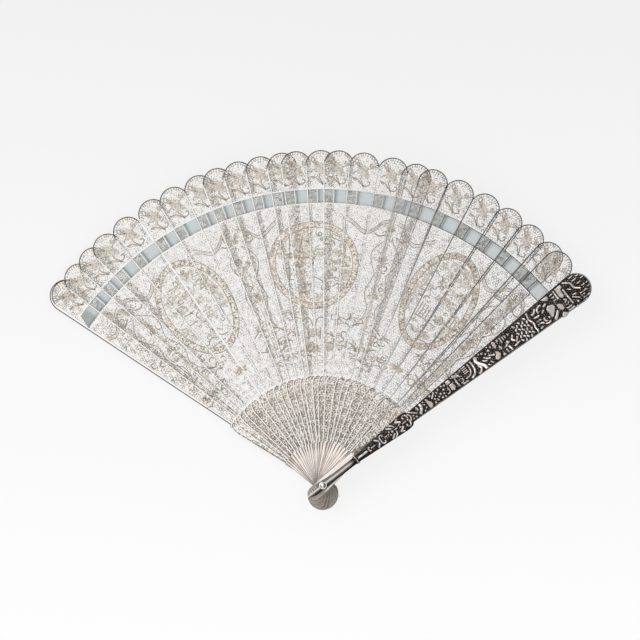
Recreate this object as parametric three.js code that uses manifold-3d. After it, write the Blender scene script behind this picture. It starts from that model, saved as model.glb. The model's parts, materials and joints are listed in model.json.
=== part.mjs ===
// A brisé folding fan of silver filigree, lying open on its back: pierced sticks between two relief guards,
// turning on one rivet and held at their spread by a silk ribbon. Millimetres, +Z up. The origin is on the
// rivet's axis in the plane that the fan lies on, and +Y points up the middle of the open fan.

import * as THREE from 'three';
import { mergeVertices } from 'three/addons/utils/BufferGeometryUtils.js';
import Module from 'manifold-3d';

// Spread of the open fan: angles from +Y, clockwise seen from the front, in degrees.
const REAR_GUARD_ANGLE = -53.7;
const FIRST_STICK_ANGLE = -53.5;
const FRONT_GUARD_ANGLE = 52.1;
// How far each stick lies from an even spacing, the one on the rear guard first, in degrees.
const STICK_LIE = [
  0, -0.5, -0.8, -1.5, -1, 0.3, 0.5, 1.2, 0.5, 0.2, 0, -0.3, -2,
  -1.8, -2.8, -2.5, -1.5, -1.4, -2.5, -1.7, -0.7, -0.1, 0.5, 0.9, -1,
];

// Stack of pieces on the rivet, along Z.
const STICK_THICKNESS = 0.45;
const STICK_GAP = 0.25; // air between neighbouring sticks, where the ribbon runs
const GUARD_PLATE_THICKNESS = 0.6;
const RELIEF_HEIGHT = 2.2; // guard cover over its plate, along the blade
const NECK_HEIGHT = 1; // guard cover over its plate, along the plain neck
const COLLAR_HEIGHT = 1.5;
const SEAM = 0.05; // film between faces that are soldered or pressed together

// Stick, drawn with the rivet at the origin and the tip towards +Y.
const STICK_LENGTH = 184.2; // rivet to tip
const TIP_HALF_WIDTH = 8.4;
const SHOULDER_REACH = 60.5; // rivet to the step between gorge and blade
const BLADE_ROOT_HALF_WIDTH = 2.9;
const GORGE_HALF_WIDTH = 5.8;
const GORGE_ROUNDING = 6.5; // length of the gorge's rounded shoulder
const PLATE_REACH = 23.6; // rivet to the end of the plain plate
const PLATE_HALF_WIDTH = 3.4;
const WAIST_REACH = 17;
const WAIST_HALF_WIDTH = 3.1;
const TAIL_HALF_WIDTH = 3.9;
const RIM = 0.7; // frame round the windows and the ribbon's slot
const BAR = 3; // filigree left standing between windows
const BLADE_BARS = 6;
const GORGE_BARS = 3;

// The tails end on one disc when the fan is open.
const HEAD_RADIUS = 7.5;
const HEAD_DROP = 6.3; // rivet to the disc's centre

// Guard outline, drawn like a stick.
const GUARD_LEAD = 0.2; // how far a guard's tip reaches past the sticks' tips
const GUARD_TIP_HALF_WIDTH = 8.5;
const GUARD_SHOULDER_REACH = 60.5;
const GUARD_ROOT_HALF_WIDTH = 3.1;
const GUARD_GORGE_HALF_WIDTH = 4.8;
const GUARD_GORGE_ROUNDING = 5;
const COLLAR_REACH = 23; // rivet to the ring between neck and relief
const COLLAR_HALF_WIDTH = 2.5;
const COLLAR_LENGTH = 1.8;
const NECK_HALF_WIDTH = 1.95;
const NECK_START = 8; // rivet to where the neck has its full slimness
const BOSS_HALF_WIDTH = 2.7; // neck at the rivet
const POINT_REACH = 11.5; // rivet to the neck's lower point
const COVER_ROUNDING = 0.4;

// Rivet.
const PIN_RADIUS = 1.1;
const PIN_CLEARANCE = 0.15;
const RIVET_HEAD_RADIUS = 1.6;
const RIVET_DOME_HEIGHT = 0.9;
const WASHER_RADIUS = 2;
const WASHER_THICKNESS = 0.3;

// Ribbon, and the slot that each stick has for it.
const RIBBON_INSET = 25.2; // stick's tip to the ribbon's middle line
const RIBBON_WIDTH = 7.4;
const RIBBON_THICKNESS = 0.1;
const SLOT_WIDTH = 1.7;
const SLOT_OFFSET = -1; // slot's middle from the stick's middle line
const SLOT_CLEARANCE = 0.3; // at each end of the slot
const RIBBON_START = -6.9; // cut end on the first stick, from its middle line
const RIBBON_BIAS = 3.2; // how far the cut end leans
const RIBBON_END = 3; // other end under the front guard, from its middle line

// Facets of round outlines.
const ROUND_SIDES = 10;
const ARC_STEPS = 4; // on each curve of an outline

const STICK_COUNT = STICK_LIE.length;
const STICK_PITCH = STICK_THICKNESS + STICK_GAP;
const TIP_CENTRE = STICK_LENGTH - TIP_HALF_WIDTH;
const RIBBON_REACH = STICK_LENGTH - RIBBON_INSET;
const GUARD_TIP_CENTRE = STICK_LENGTH + GUARD_LEAD - GUARD_TIP_HALF_WIDTH;
const REAR_PLATE_INNER = RELIEF_HEIGHT + SEAM + GUARD_PLATE_THICKNESS;
const HOLE_RADIUS = (PIN_RADIUS + PIN_CLEARANCE) / Math.cos(Math.PI / ROUND_SIDES);

const wasm = await Module();
wasm.setup();

const silver = () => new THREE.MeshStandardMaterial({ color: 0xcfcac4, roughness: 0.35, metalness: 1 });
const darkSilver = () => new THREE.MeshStandardMaterial({ color: 0x7b7472, roughness: 0.4, metalness: 1 });
const silk = () => new THREE.MeshStandardMaterial({ color: 0xd3dee1, roughness: 0.75, metalness: 0 });

function point(x, y) {
  return new THREE.Vector2(x, y);
}

// Underside of a stick, counted from 0. The front guard's plate comes one step after the last stick.
function stickBase(index) {
  return REAR_PLATE_INNER + STICK_GAP + index * STICK_PITCH;
}

function stickAngle(index) {
  const even = THREE.MathUtils.lerp(FIRST_STICK_ANGLE, FRONT_GUARD_ANGLE, index / STICK_COUNT);
  return even + STICK_LIE[index];
}

// Half the width at a given reach along a straight taper between two known places.
function taper(reach, fromReach, fromHalf, toReach, toHalf) {
  return THREE.MathUtils.mapLinear(reach, fromReach, toReach, fromHalf, toHalf);
}

function bladeHalf(reach) {
  return taper(reach, SHOULDER_REACH, BLADE_ROOT_HALF_WIDTH, TIP_CENTRE, TIP_HALF_WIDTH);
}

function gorgeHalf(reach) {
  const shoulder = SHOULDER_REACH - GORGE_ROUNDING;
  return taper(reach, PLATE_REACH, PLATE_HALF_WIDTH, shoulder, GORGE_HALF_WIDTH);
}

// Pulls every side of a convex outline, drawn anticlockwise, inwards by the same distance.
function inset(corners, distance) {
  return corners.map((corner, i) => {
    const arriving = corner.clone().sub(corners.at(i - 1)).normalize();
    const leaving = corners[(i + 1) % corners.length].clone().sub(corner).normalize();
    const normals = point(-arriving.y - leaving.y, arriving.x + leaving.x);
    return normals.multiplyScalar(distance / (1 + arriving.dot(leaving))).add(corner);
  });
}

// Triangles left between two rims by bars that zigzag from one rim to the other.
function zigzagWindows(low, high, half, bars) {
  const rim = (side, reach) => point(side * (half(reach) - RIM + BAR / 2), reach);
  const joints = [rim(1, low), rim(-1, low)];
  for (let bar = 1; bar <= bars; bar += 1) {
    joints.push(rim(bar % 2 ? 1 : -1, THREE.MathUtils.lerp(low, high, bar / bars)));
  }
  joints.push(rim(bars % 2 ? -1 : 1, high));
  const windows = [];
  for (let i = 0; i + 2 < joints.length; i += 1) {
    const corners = [joints[i], joints[i + 1], joints[i + 2]];
    windows.push(inset(THREE.ShapeUtils.area(corners) > 0 ? corners : corners.reverse(), BAR / 2));
  }
  return windows;
}

function slotWindow(low, high) {
  const left = SLOT_OFFSET - SLOT_WIDTH / 2;
  const right = SLOT_OFFSET + SLOT_WIDTH / 2;
  return [point(left, low), point(right, low), point(right, high), point(left, high)];
}

// Two panes of the round tip, either side of a stem.
function tipWindows(low) {
  const arc = TIP_HALF_WIDTH - RIM;
  const right = [point(BAR / 2, low), point(bladeHalf(low) - RIM, low)];
  const steepest = Math.acos(BAR / 2 / arc);
  for (let step = 0; step <= ARC_STEPS; step += 1) {
    const turn = (step / ARC_STEPS) * steepest;
    right.push(point(arc * Math.cos(turn), TIP_CENTRE + arc * Math.sin(turn)));
  }
  const left = right.map(({ x, y }) => point(-x, y)).reverse();
  return [right, left];
}

// Length of a stick's tail below the rivet, as far as the head's disc reaches at that angle.
function tailLength(degrees) {
  const angle = THREE.MathUtils.degToRad(degrees);
  const across = HEAD_DROP * Math.sin(angle);
  return HEAD_DROP * Math.cos(angle) + Math.sqrt(HEAD_RADIUS ** 2 - across ** 2);
}

function stickOutline(tail) {
  const shoulder = SHOULDER_REACH - GORGE_ROUNDING;
  const outline = new THREE.Shape();
  outline.absarc(0, TAIL_HALF_WIDTH - tail, TAIL_HALF_WIDTH, Math.PI, 2 * Math.PI);
  outline.lineTo(TAIL_HALF_WIDTH, 0);
  outline.lineTo(WAIST_HALF_WIDTH, WAIST_REACH);
  outline.lineTo(PLATE_HALF_WIDTH, PLATE_REACH);
  outline.lineTo(GORGE_HALF_WIDTH, shoulder);
  outline.quadraticCurveTo(GORGE_HALF_WIDTH, SHOULDER_REACH, BLADE_ROOT_HALF_WIDTH, SHOULDER_REACH);
  outline.lineTo(TIP_HALF_WIDTH, TIP_CENTRE);
  outline.absarc(0, TIP_CENTRE, TIP_HALF_WIDTH, 0, Math.PI);
  outline.lineTo(-BLADE_ROOT_HALF_WIDTH, SHOULDER_REACH);
  outline.quadraticCurveTo(-GORGE_HALF_WIDTH, SHOULDER_REACH, -GORGE_HALF_WIDTH, shoulder);
  outline.lineTo(-PLATE_HALF_WIDTH, PLATE_REACH);
  outline.lineTo(-WAIST_HALF_WIDTH, WAIST_REACH);
  outline.lineTo(-TAIL_HALF_WIDTH, 0);
  outline.closePath();
  return outline;
}

function rivetHole() {
  const hole = [];
  for (let side = 0; side < ROUND_SIDES; side += 1) {
    const turn = (side / ROUND_SIDES) * 2 * Math.PI;
    hole.push(point(HOLE_RADIUS * Math.cos(turn), HOLE_RADIUS * Math.sin(turn)));
  }
  return hole;
}

function stickGeometry(tail) {
  const bandLow = RIBBON_REACH - RIBBON_WIDTH / 2 - SLOT_CLEARANCE;
  const bandHigh = RIBBON_REACH + RIBBON_WIDTH / 2 + SLOT_CLEARANCE;
  const windows = [
    rivetHole(),
    ...zigzagWindows(PLATE_REACH, SHOULDER_REACH - GORGE_ROUNDING + RIM, gorgeHalf, GORGE_BARS),
    ...zigzagWindows(SHOULDER_REACH, bandLow - RIM + BAR / 2, bladeHalf, BLADE_BARS),
    slotWindow(bandLow, bandHigh),
    ...tipWindows(bandHigh + RIM),
  ];
  const punch = (window) => slab(new THREE.Shape(window), -STICK_THICKNESS, 2 * STICK_THICKNESS, 0);
  const plate = slab(stickOutline(tail), 0, STICK_THICKNESS, 0);
  return toGeometry(windows.reduce((stick, window) => stick.subtract(punch(window)), plate));
}

function toSolid(geometry) {
  const bare = geometry.clone();
  bare.deleteAttribute('normal');
  bare.deleteAttribute('uv');
  const merged = mergeVertices(bare);
  return new wasm.Manifold(new wasm.Mesh({
    numProp: 3,
    vertProperties: merged.attributes.position.array,
    triVerts: Uint32Array.from(merged.index.array),
  }));
}

function toGeometry(solid) {
  const { vertProperties, triVerts } = solid.getMesh();
  const geometry = new THREE.BufferGeometry();
  geometry.setAttribute('position', new THREE.BufferAttribute(vertProperties, 3));
  geometry.setIndex(new THREE.BufferAttribute(triVerts, 1));
  geometry.computeVertexNormals();
  return geometry;
}

// Extrusion from one height to another, with its upper and lower edges rounded off where asked.
function slab(shape, from, to, rounding) {
  const geometry = new THREE.ExtrudeGeometry(shape, {
    depth: to - from - 2 * rounding,
    bevelEnabled: rounding > 0,
    bevelThickness: rounding,
    bevelSize: rounding,
    bevelOffset: -rounding,
    bevelSegments: 1,
    curveSegments: ARC_STEPS,
  });
  return toSolid(geometry.translate(0, 0, from + rounding));
}

// Relief part of a guard, from the collar to the round tip.
function guardPanelShape() {
  const shoulder = GUARD_SHOULDER_REACH - GUARD_GORGE_ROUNDING;
  const shape = new THREE.Shape();
  shape.moveTo(NECK_HALF_WIDTH, COLLAR_REACH);
  shape.lineTo(GUARD_GORGE_HALF_WIDTH, shoulder);
  shape.quadraticCurveTo(
    GUARD_GORGE_HALF_WIDTH, GUARD_SHOULDER_REACH, GUARD_ROOT_HALF_WIDTH, GUARD_SHOULDER_REACH,
  );
  shape.lineTo(GUARD_TIP_HALF_WIDTH, GUARD_TIP_CENTRE);
  shape.absarc(0, GUARD_TIP_CENTRE, GUARD_TIP_HALF_WIDTH, 0, Math.PI);
  shape.lineTo(-GUARD_ROOT_HALF_WIDTH, GUARD_SHOULDER_REACH);
  shape.quadraticCurveTo(
    -GUARD_GORGE_HALF_WIDTH, GUARD_SHOULDER_REACH, -GUARD_GORGE_HALF_WIDTH, shoulder,
  );
  shape.lineTo(-NECK_HALF_WIDTH, COLLAR_REACH);
  shape.closePath();
  return shape;
}

// Plain part of a guard: a slim neck that widens at the rivet and ends in a point.
function guardNeckShape() {
  const top = COLLAR_REACH + COLLAR_LENGTH / 2;
  const shape = new THREE.Shape();
  shape.moveTo(0, -POINT_REACH);
  shape.quadraticCurveTo(BOSS_HALF_WIDTH, -POINT_REACH / 2, BOSS_HALF_WIDTH, 0);
  shape.lineTo(NECK_HALF_WIDTH, NECK_START);
  shape.lineTo(NECK_HALF_WIDTH, top);
  shape.lineTo(-NECK_HALF_WIDTH, top);
  shape.lineTo(-NECK_HALF_WIDTH, NECK_START);
  shape.lineTo(-BOSS_HALF_WIDTH, 0);
  shape.quadraticCurveTo(-BOSS_HALF_WIDTH, -POINT_REACH / 2, 0, -POINT_REACH);
  return shape;
}

function collarShape() {
  const low = COLLAR_REACH - COLLAR_LENGTH / 2;
  const high = COLLAR_REACH + COLLAR_LENGTH / 2;
  return new THREE.Shape([
    point(-COLLAR_HALF_WIDTH, low),
    point(COLLAR_HALF_WIDTH, low),
    point(COLLAR_HALF_WIDTH, high),
    point(-COLLAR_HALF_WIDTH, high),
  ]);
}

function drill(solid) {
  const depth = 2 * (GUARD_PLATE_THICKNESS + SEAM + RELIEF_HEIGHT);
  const bit = new THREE.CylinderGeometry(HOLE_RADIUS, HOLE_RADIUS, 2 * depth, ROUND_SIDES);
  return solid.subtract(toSolid(bit.rotateX(Math.PI / 2)));
}

function named(name, geometry, material) {
  const mesh = new THREE.Mesh(geometry, material);
  mesh.name = name;
  return mesh;
}

// A guard with its inner face at height 0 and its relief towards +Z.
function makeGuard(name) {
  const base = GUARD_PLATE_THICKNESS + SEAM;
  const plate = slab(guardPanelShape(), 0, GUARD_PLATE_THICKNESS, 0)
    .add(slab(guardNeckShape(), 0, GUARD_PLATE_THICKNESS, 0));
  const cover = slab(guardPanelShape(), base, base + RELIEF_HEIGHT, COVER_ROUNDING)
    .add(slab(guardNeckShape(), base, base + NECK_HEIGHT, COVER_ROUNDING))
    .add(slab(collarShape(), base, base + COLLAR_HEIGHT, COVER_ROUNDING));
  const guard = new THREE.Group();
  guard.add(named(`${name}_plate`, toGeometry(drill(plate)), silver()));
  guard.add(named(`${name}_cover`, toGeometry(drill(cover)), darkSilver()));
  return guard;
}

// Holds a piece at an angle of the spread.
function turned(piece, degrees) {
  const holder = new THREE.Group();
  holder.rotation.z = -THREE.MathUtils.degToRad(degrees);
  holder.add(piece);
  return holder;
}

function makeSticks() {
  const sticks = new THREE.Group();
  for (let index = 0; index < STICK_COUNT; index += 1) {
    const angle = stickAngle(index);
    const name = `stick_${String(index + 1).padStart(2, '0')}`;
    const stick = named(name, stickGeometry(tailLength(angle)), silver());
    stick.position.z = stickBase(index);
    sticks.add(turned(stick, angle));
  }
  return sticks;
}

// Heights of the rivet's seats: the outer faces of the two guards' necks.
const REAR_SEAT = RELIEF_HEIGHT - NECK_HEIGHT;
const FRONT_SEAT = stickBase(STICK_COUNT) + GUARD_PLATE_THICKNESS + SEAM + NECK_HEIGHT;

// Pin with a flat rear head in the plane that the fan lies on, and a domed front head.
function makeRivet() {
  const rearInner = REAR_SEAT - 2 * SEAM - WASHER_THICKNESS;
  const frontInner = FRONT_SEAT + 2 * SEAM + WASHER_THICKNESS;
  const profile = [
    point(0, 0),
    point(RIVET_HEAD_RADIUS, 0),
    point(RIVET_HEAD_RADIUS, rearInner),
    point(PIN_RADIUS, rearInner),
    point(PIN_RADIUS, frontInner),
  ];
  for (let step = 0; step < ARC_STEPS; step += 1) {
    const turn = (step / ARC_STEPS) * (Math.PI / 2);
    profile.push(point(RIVET_HEAD_RADIUS * Math.cos(turn), frontInner + RIVET_DOME_HEIGHT * Math.sin(turn)));
  }
  profile.push(point(0, frontInner + RIVET_DOME_HEIGHT));
  return named('rivet_pin', new THREE.LatheGeometry(profile, ROUND_SIDES).rotateX(Math.PI / 2), silver());
}

function makeWasher(name, height) {
  const ring = new THREE.Shape();
  ring.absarc(0, 0, WASHER_RADIUS, 0, 2 * Math.PI);
  ring.holes = [new THREE.Path(rivetHole())];
  const geometry = new THREE.ExtrudeGeometry(ring, {
    depth: WASHER_THICKNESS,
    bevelEnabled: false,
    curveSegments: ROUND_SIDES,
  });
  return named(name, geometry.translate(0, 0, height), silver());
}

// One cut across the ribbon: its inner and outer edge, at places measured in a stick's own drawing.
function ribbonCut(degrees, innerAcross, outerAcross, height) {
  const place = (across, reach) => new THREE.Vector3(across, reach, height)
    .applyAxisAngle(new THREE.Vector3(0, 0, 1), -THREE.MathUtils.degToRad(degrees));
  return {
    inner: place(innerAcross, RIBBON_REACH - RIBBON_WIDTH / 2),
    outer: place(outerAcross, RIBBON_REACH + RIBBON_WIDTH / 2),
  };
}

// The ribbon lies in the gap over a stick, climbs through the next stick's slot and lies over that one.
function ribbonCuts() {
  const over = (index) => stickBase(index) + STICK_THICKNESS + STICK_GAP / 2;
  const left = SLOT_OFFSET - SLOT_WIDTH / 2;
  const right = SLOT_OFFSET + SLOT_WIDTH / 2;
  const cuts = [ribbonCut(stickAngle(0), RIBBON_START, RIBBON_START + RIBBON_BIAS, over(0))];
  for (let index = 1; index < STICK_COUNT; index += 1) {
    cuts.push(ribbonCut(stickAngle(index), left, left, over(index - 1)));
    cuts.push(ribbonCut(stickAngle(index), right, right, over(index)));
  }
  cuts.push(ribbonCut(FRONT_GUARD_ANGLE, RIBBON_END, RIBBON_END, over(STICK_COUNT - 1)));
  return cuts;
}

function makeRibbon() {
  const positions = [];
  const faces = [];
  const quad = (a, b, c, d) => faces.push(a, b, c, a, c, d);
  const cuts = ribbonCuts();
  for (const { inner, outer } of cuts) {
    for (const [edge, side] of [[inner, -1], [outer, -1], [outer, 1], [inner, 1]]) {
      positions.push(edge.x, edge.y, edge.z + (side * RIBBON_THICKNESS) / 2);
    }
  }
  quad(0, 3, 2, 1);
  for (let cut = 0; cut + 1 < cuts.length; cut += 1) {
    const near = 4 * cut;
    const far = near + 4;
    for (let corner = 0; corner < 4; corner += 1) {
      const next = (corner + 1) % 4;
      quad(near + corner, near + next, far + next, far + corner);
    }
  }
  const last = 4 * (cuts.length - 1);
  quad(last, last + 1, last + 2, last + 3);
  const geometry = new THREE.BufferGeometry();
  geometry.setAttribute('position', new THREE.Float32BufferAttribute(positions, 3));
  geometry.setIndex(faces);
  geometry.computeVertexNormals();
  return named('ribbon', geometry, silk());
}

const fan = new THREE.Group();

const rearGuard = makeGuard('rear_guard');
rearGuard.rotation.y = Math.PI;
rearGuard.position.z = REAR_PLATE_INNER;
fan.add(turned(rearGuard, REAR_GUARD_ANGLE));

const frontGuard = makeGuard('front_guard');
frontGuard.position.z = stickBase(STICK_COUNT);
fan.add(turned(frontGuard, FRONT_GUARD_ANGLE));

fan.add(makeSticks());
fan.add(makeRivet());
fan.add(makeWasher('rear_washer', REAR_SEAT - SEAM - WASHER_THICKNESS));
fan.add(makeWasher('front_washer', FRONT_SEAT + SEAM));
fan.add(makeRibbon());

export default fan;
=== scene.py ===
# %% [markdown]
# # A filigree folding fan
# The fan is made of 25 openwork silver sticks between two chased guards, all turning on one rivet, with a
# silk ribbon threaded through a slot in every stick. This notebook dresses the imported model: it loads the
# bodies and joints as a fixed frame, bends wires and raises relief around it, and hides the plain solids
# that they stand for.

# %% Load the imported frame
import json
import random
from math import atan2, ceil, cos, degrees, hypot, pi, radians, sin, sqrt

import bmesh
import bpy
from mathutils import Matrix, Vector


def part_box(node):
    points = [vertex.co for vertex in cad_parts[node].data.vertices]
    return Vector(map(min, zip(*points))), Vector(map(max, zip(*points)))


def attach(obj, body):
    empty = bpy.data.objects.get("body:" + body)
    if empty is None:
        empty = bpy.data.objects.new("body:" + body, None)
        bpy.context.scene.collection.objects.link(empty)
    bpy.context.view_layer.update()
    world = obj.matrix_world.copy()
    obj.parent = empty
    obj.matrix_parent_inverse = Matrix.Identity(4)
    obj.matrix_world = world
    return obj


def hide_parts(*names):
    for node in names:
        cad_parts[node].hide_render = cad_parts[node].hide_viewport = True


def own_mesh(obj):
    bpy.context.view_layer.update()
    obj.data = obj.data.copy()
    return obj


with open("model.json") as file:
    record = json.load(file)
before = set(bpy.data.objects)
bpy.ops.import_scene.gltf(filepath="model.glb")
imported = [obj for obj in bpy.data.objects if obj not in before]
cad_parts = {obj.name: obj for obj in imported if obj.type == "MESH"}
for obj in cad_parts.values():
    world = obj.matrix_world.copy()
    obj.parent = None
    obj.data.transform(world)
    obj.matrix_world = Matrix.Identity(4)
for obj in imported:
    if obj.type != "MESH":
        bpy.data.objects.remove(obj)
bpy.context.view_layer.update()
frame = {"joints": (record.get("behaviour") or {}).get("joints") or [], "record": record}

# %% [markdown]
# ## Where every stick lies
# The sticks differ only in the angle at which they lie and in their height in the stack. Both are in the
# frame: the rear guard's mount shows its direction, a stick's joint says how far it turns until it lies
# on that guard, and its box gives its underside. Each stick is drawn upright in millimetres, with its
# rivet hole at the origin, and one matrix then lays the drawing in its place, so nothing has to be fitted
# by eye.

# %% Angles and heights from the frame
MM = 0.001
STICK_COUNT = 25
mounts = {mount["name"]: mount for mount in frame["record"]["mounts"]}
guard_foot = mounts["rear_guard_back"]["pos_m"]
REAR_ANGLE = atan2(guard_foot[0], guard_foot[1])
joints = {joint["name"]: joint for joint in frame["joints"]}
FRONT_ANGLE = REAR_ANGLE + radians(joints["fan_fold"]["range_deg"][1])
sticks = [f"stick_{number:02d}" for number in range(1, STICK_COUNT + 1)]
angles = [REAR_ANGLE + radians(joints[f"{stick}_turn"]["range_deg"][1]) for stick in sticks]
bases = [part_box(stick)[0].z / MM for stick in sticks]
STICK_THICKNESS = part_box(sticks[0])[1].z / MM - bases[0]


def next_angle(index):
    """The angle of what lies on a stick: the next stick, or the front guard."""
    return angles[index + 1] if index + 1 < STICK_COUNT else FRONT_ANGLE


def laid(angle, height):
    """Takes a drawing in millimetres, upright on its rivet, to its place in the fan."""
    turned = Matrix.Rotation(-angle, 4, "Z")
    return turned @ Matrix.Translation((0, 0, height * MM)) @ Matrix.Scale(MM, 4)


print("sticks from", round(degrees(angles[0]), 1), "to", round(degrees(angles[-1]), 1), "degrees,",
      "undersides from", round(bases[0], 2), "to", round(bases[-1], 2), "mm")

# %% [markdown]
# ## Camera
# The photograph looks straight down on the open fan, with hardly any perspective. A long lens from three
# metres up gives the same flat view. The aim is the middle of the picture, a little above the middle of
# the sticks.

# %% Camera straight above the fan
PICTURE_WIDTH, PICTURE_MIDDLE = 0.352, (-0.00165, 0.09075)
FOCUS_HEIGHT, CAMERA_HEIGHT = 0.012, 3.0


def add_object(name, data):
    made = bpy.data.objects.new(name, data)
    bpy.context.scene.collection.objects.link(made)
    return made


camera = add_object("camera", bpy.data.cameras.new("camera"))
camera.data.sensor_width = 36
camera.data.lens = camera.data.sensor_width * CAMERA_HEIGHT / PICTURE_WIDTH
camera.data.clip_end = 100
camera.location = (*PICTURE_MIDDLE, CAMERA_HEIGHT + FOCUS_HEIGHT)
bpy.context.scene.camera = camera
bpy.context.scene.view_settings.view_transform = "Standard"
print("lens", round(camera.data.lens), "mm")

# %% [markdown]
# ## A short way to write shaders
# Shader nodes are easier to read as sums. The class below wraps one output socket: `+`, `-`, `*` and `/`
# add Math nodes, also with a plain number on the left, and `node` adds any other kind. A stretch of maths
# then reads like the rule that it stands for, and the node tree is built behind it.

# %% The socket class
class Flow:
    def __init__(self, tree, socket=None):
        self.tree, self.socket = tree, socket

    def node(self, kind, settings=None, values=None, output=0):
        made = self.tree.nodes.new(kind)
        for name, value in (settings or {}).items():
            setattr(made, name, value)
        for name, value in (values or {}).items():
            if isinstance(value, Flow):
                self.tree.links.new(value.socket, made.inputs[name])
            else:
                made.inputs[name].default_value = value
        return Flow(self.tree, made.outputs[output]) if made.outputs else None

    def maths(self, operation, one, two=0.0, clamp=False):
        return self.node("ShaderNodeMath", {"operation": operation, "use_clamp": clamp}, {0: one, 1: two})

    def mix(self, share, first, second):
        settings = {"data_type": "RGBA", "clamp_factor": True}
        return self.node("ShaderNodeMix", settings, {0: share, 6: first, 7: second}, output=2)

    def clamp(self):
        return self.maths("ADD", self, 0.0, clamp=True)

    def __add__(self, other):
        return self.maths("ADD", self, other)

    def __sub__(self, other):
        return self.maths("SUBTRACT", self, other)

    def __mul__(self, other):
        return self.maths("MULTIPLY", self, other)

    def __truediv__(self, other):
        return self.maths("DIVIDE", self, other)

    def __radd__(self, other):
        return self.maths("ADD", other, self)

    def __rsub__(self, other):
        return self.maths("SUBTRACT", other, self)

    def __rmul__(self, other):
        return self.maths("MULTIPLY", other, self)


def empty_tree(owner):
    owner.use_nodes = True
    owner.node_tree.nodes.clear()
    return Flow(owner.node_tree)


print("shader sums ready")

# %% [markdown]
# ## Studio light
# Flat polished rims mirror what is right above them. In the photograph the rims of the left half are
# white and those of the right half dark, so the room is bright on the left and overhead, and a narrow
# dark screen hangs above, a little to the right. One large soft lamp stands on the left behind the fan.

# %% World and lamp
WALLS, CEILING, SCREEN = (0.74, 0.74, 0.74, 1), (1, 0.985, 0.97, 1), (0.09, 0.087, 0.084, 1)
SCREEN_LEFT, SCREEN_RIGHT = (0.009, 0.017), (0.09, 0.13)
LAMP_PLACE, LAMP_AIM = Vector((-0.9, 0.7, 1.5)), Vector((0, 0.09, 0))


def smooth_step(flow, value, low, high):
    return flow.node("ShaderNodeMapRange", {"interpolation_type": "SMOOTHSTEP"},
                     {"Value": value, "From Min": low, "From Max": high})


world = bpy.data.worlds.new("studio")
bpy.context.scene.world = world
flow = empty_tree(world)
direction = flow.node("ShaderNodeTexCoord")
across, upward = (flow.node("ShaderNodeSeparateXYZ", values={0: direction}, output=axis) for axis in (0, 2))
overhead = smooth_step(flow, upward, 0.55, 0.9)
screen = smooth_step(flow, across, *SCREEN_LEFT) - smooth_step(flow, across, *SCREEN_RIGHT)
room = flow.mix(screen * overhead, flow.mix(overhead, WALLS, CEILING), SCREEN)
glow = flow.node("ShaderNodeBackground", values={"Color": room, "Strength": 1.0})
flow.node("ShaderNodeOutputWorld", values={"Surface": glow})

lamp = add_object("soft_box", bpy.data.lights.new("soft_box", "AREA"))
lamp.data.size, lamp.data.energy = 1.2, 14
lamp.location = LAMP_PLACE
lamp.rotation_euler = (LAMP_AIM - LAMP_PLACE).to_track_quat("-Z", "Y").to_euler()
print("a room with a dark screen, and one soft lamp")

# %% [markdown]
# ## Floor
# The floor is pale paper. To camera and mirror rays most of it is an even glow, so the cut-out white of
# the photograph needs no strong lamp, and the rest is lit paper that keeps a soft shadow. It is a shade
# darker towards the far edge.

# %% Paper under the fan
FLOOR_HALF = 40
NEAR_PAPER, FAR_PAPER = (0.975, 0.975, 0.975, 1), (0.862, 0.862, 0.862, 1)
NEAR_EDGE, FAR_EDGE = -0.085, 0.267
GLOW_SHARE = 0.85


def mesh_of(form, name):
    """A mesh of a bmesh that is done with."""
    mesh = bpy.data.meshes.new(name)
    form.to_mesh(mesh)
    form.free()
    return mesh


floor_form = bmesh.new()
bmesh.ops.create_grid(floor_form, x_segments=1, y_segments=1, size=FLOOR_HALF)
floor = add_object("floor", mesh_of(floor_form, "floor"))
paper = bpy.data.materials.new("pale_paper")
floor.data.materials.append(paper)
flow = empty_tree(paper)
rays = flow.node("ShaderNodeLightPath")
seen = rays
for name in ("Is Glossy Ray", "Is Transmission Ray"):
    seen = flow.maths("MAXIMUM", seen, Flow(flow.tree, rays.socket.node.outputs[name]))
where = flow.node("ShaderNodeTexCoord", output=3)
away = flow.node("ShaderNodeSeparateXYZ", values={0: where}, output=1)
shaded = flow.mix((away - NEAR_EDGE) / (FAR_EDGE - NEAR_EDGE), NEAR_PAPER, FAR_PAPER)
lit = flow.node("ShaderNodeBsdfDiffuse", values={"Color": shaded})
even = flow.node("ShaderNodeEmission", values={"Color": shaded, "Strength": 1.0})
surface = flow.node("ShaderNodeMixShader", values={0: seen * GLOW_SHARE, 1: lit, 2: even})
flow.node("ShaderNodeOutputMaterial", values={"Surface": surface})
print("floor", 2 * FLOOR_HALF, "m wide")

# %% [markdown]
# ## How a finish is written
# A finish is three rules: for the colour, the roughness and the bump. Every mesh carries a `place`
# attribute, its own drawing in metres, so a rule can follow a stick's length or the height of the relief
# wherever the piece lies. Silver is dark in the depth, where tarnish stays and where the dark is also
# painted shade, and bright on top, where it is worn.

# %% Rules that finishes share
BUMP_DEPTH = 0.0001


def principled(name, colour, roughness, bump=None, metallic=1.0, **constants):
    """A material from its rules and, with _ for a space, from plain values of other sockets."""
    material = bpy.data.materials.new(name)
    flow = empty_tree(material)
    values = {"Base Color": colour(flow), "Roughness": roughness(flow), "Metallic": metallic}
    if bump:
        height, strength = bump(flow)
        bent = {"Strength": strength, "Distance": BUMP_DEPTH, "Height": height}
        values["Normal"] = flow.node("ShaderNodeBump", values=bent)
    for socket, value in constants.items():
        values[socket.replace("_", " ")] = value
    shader = flow.node("ShaderNodeBsdfPrincipled", values=values)
    flow.node("ShaderNodeOutputMaterial", values={"Surface": shader})
    return material


def drawing(flow):
    """The place in the piece's own drawing, in metres."""
    return flow.node("ShaderNodeAttribute", {"attribute_name": "place"}, output=1)


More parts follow.
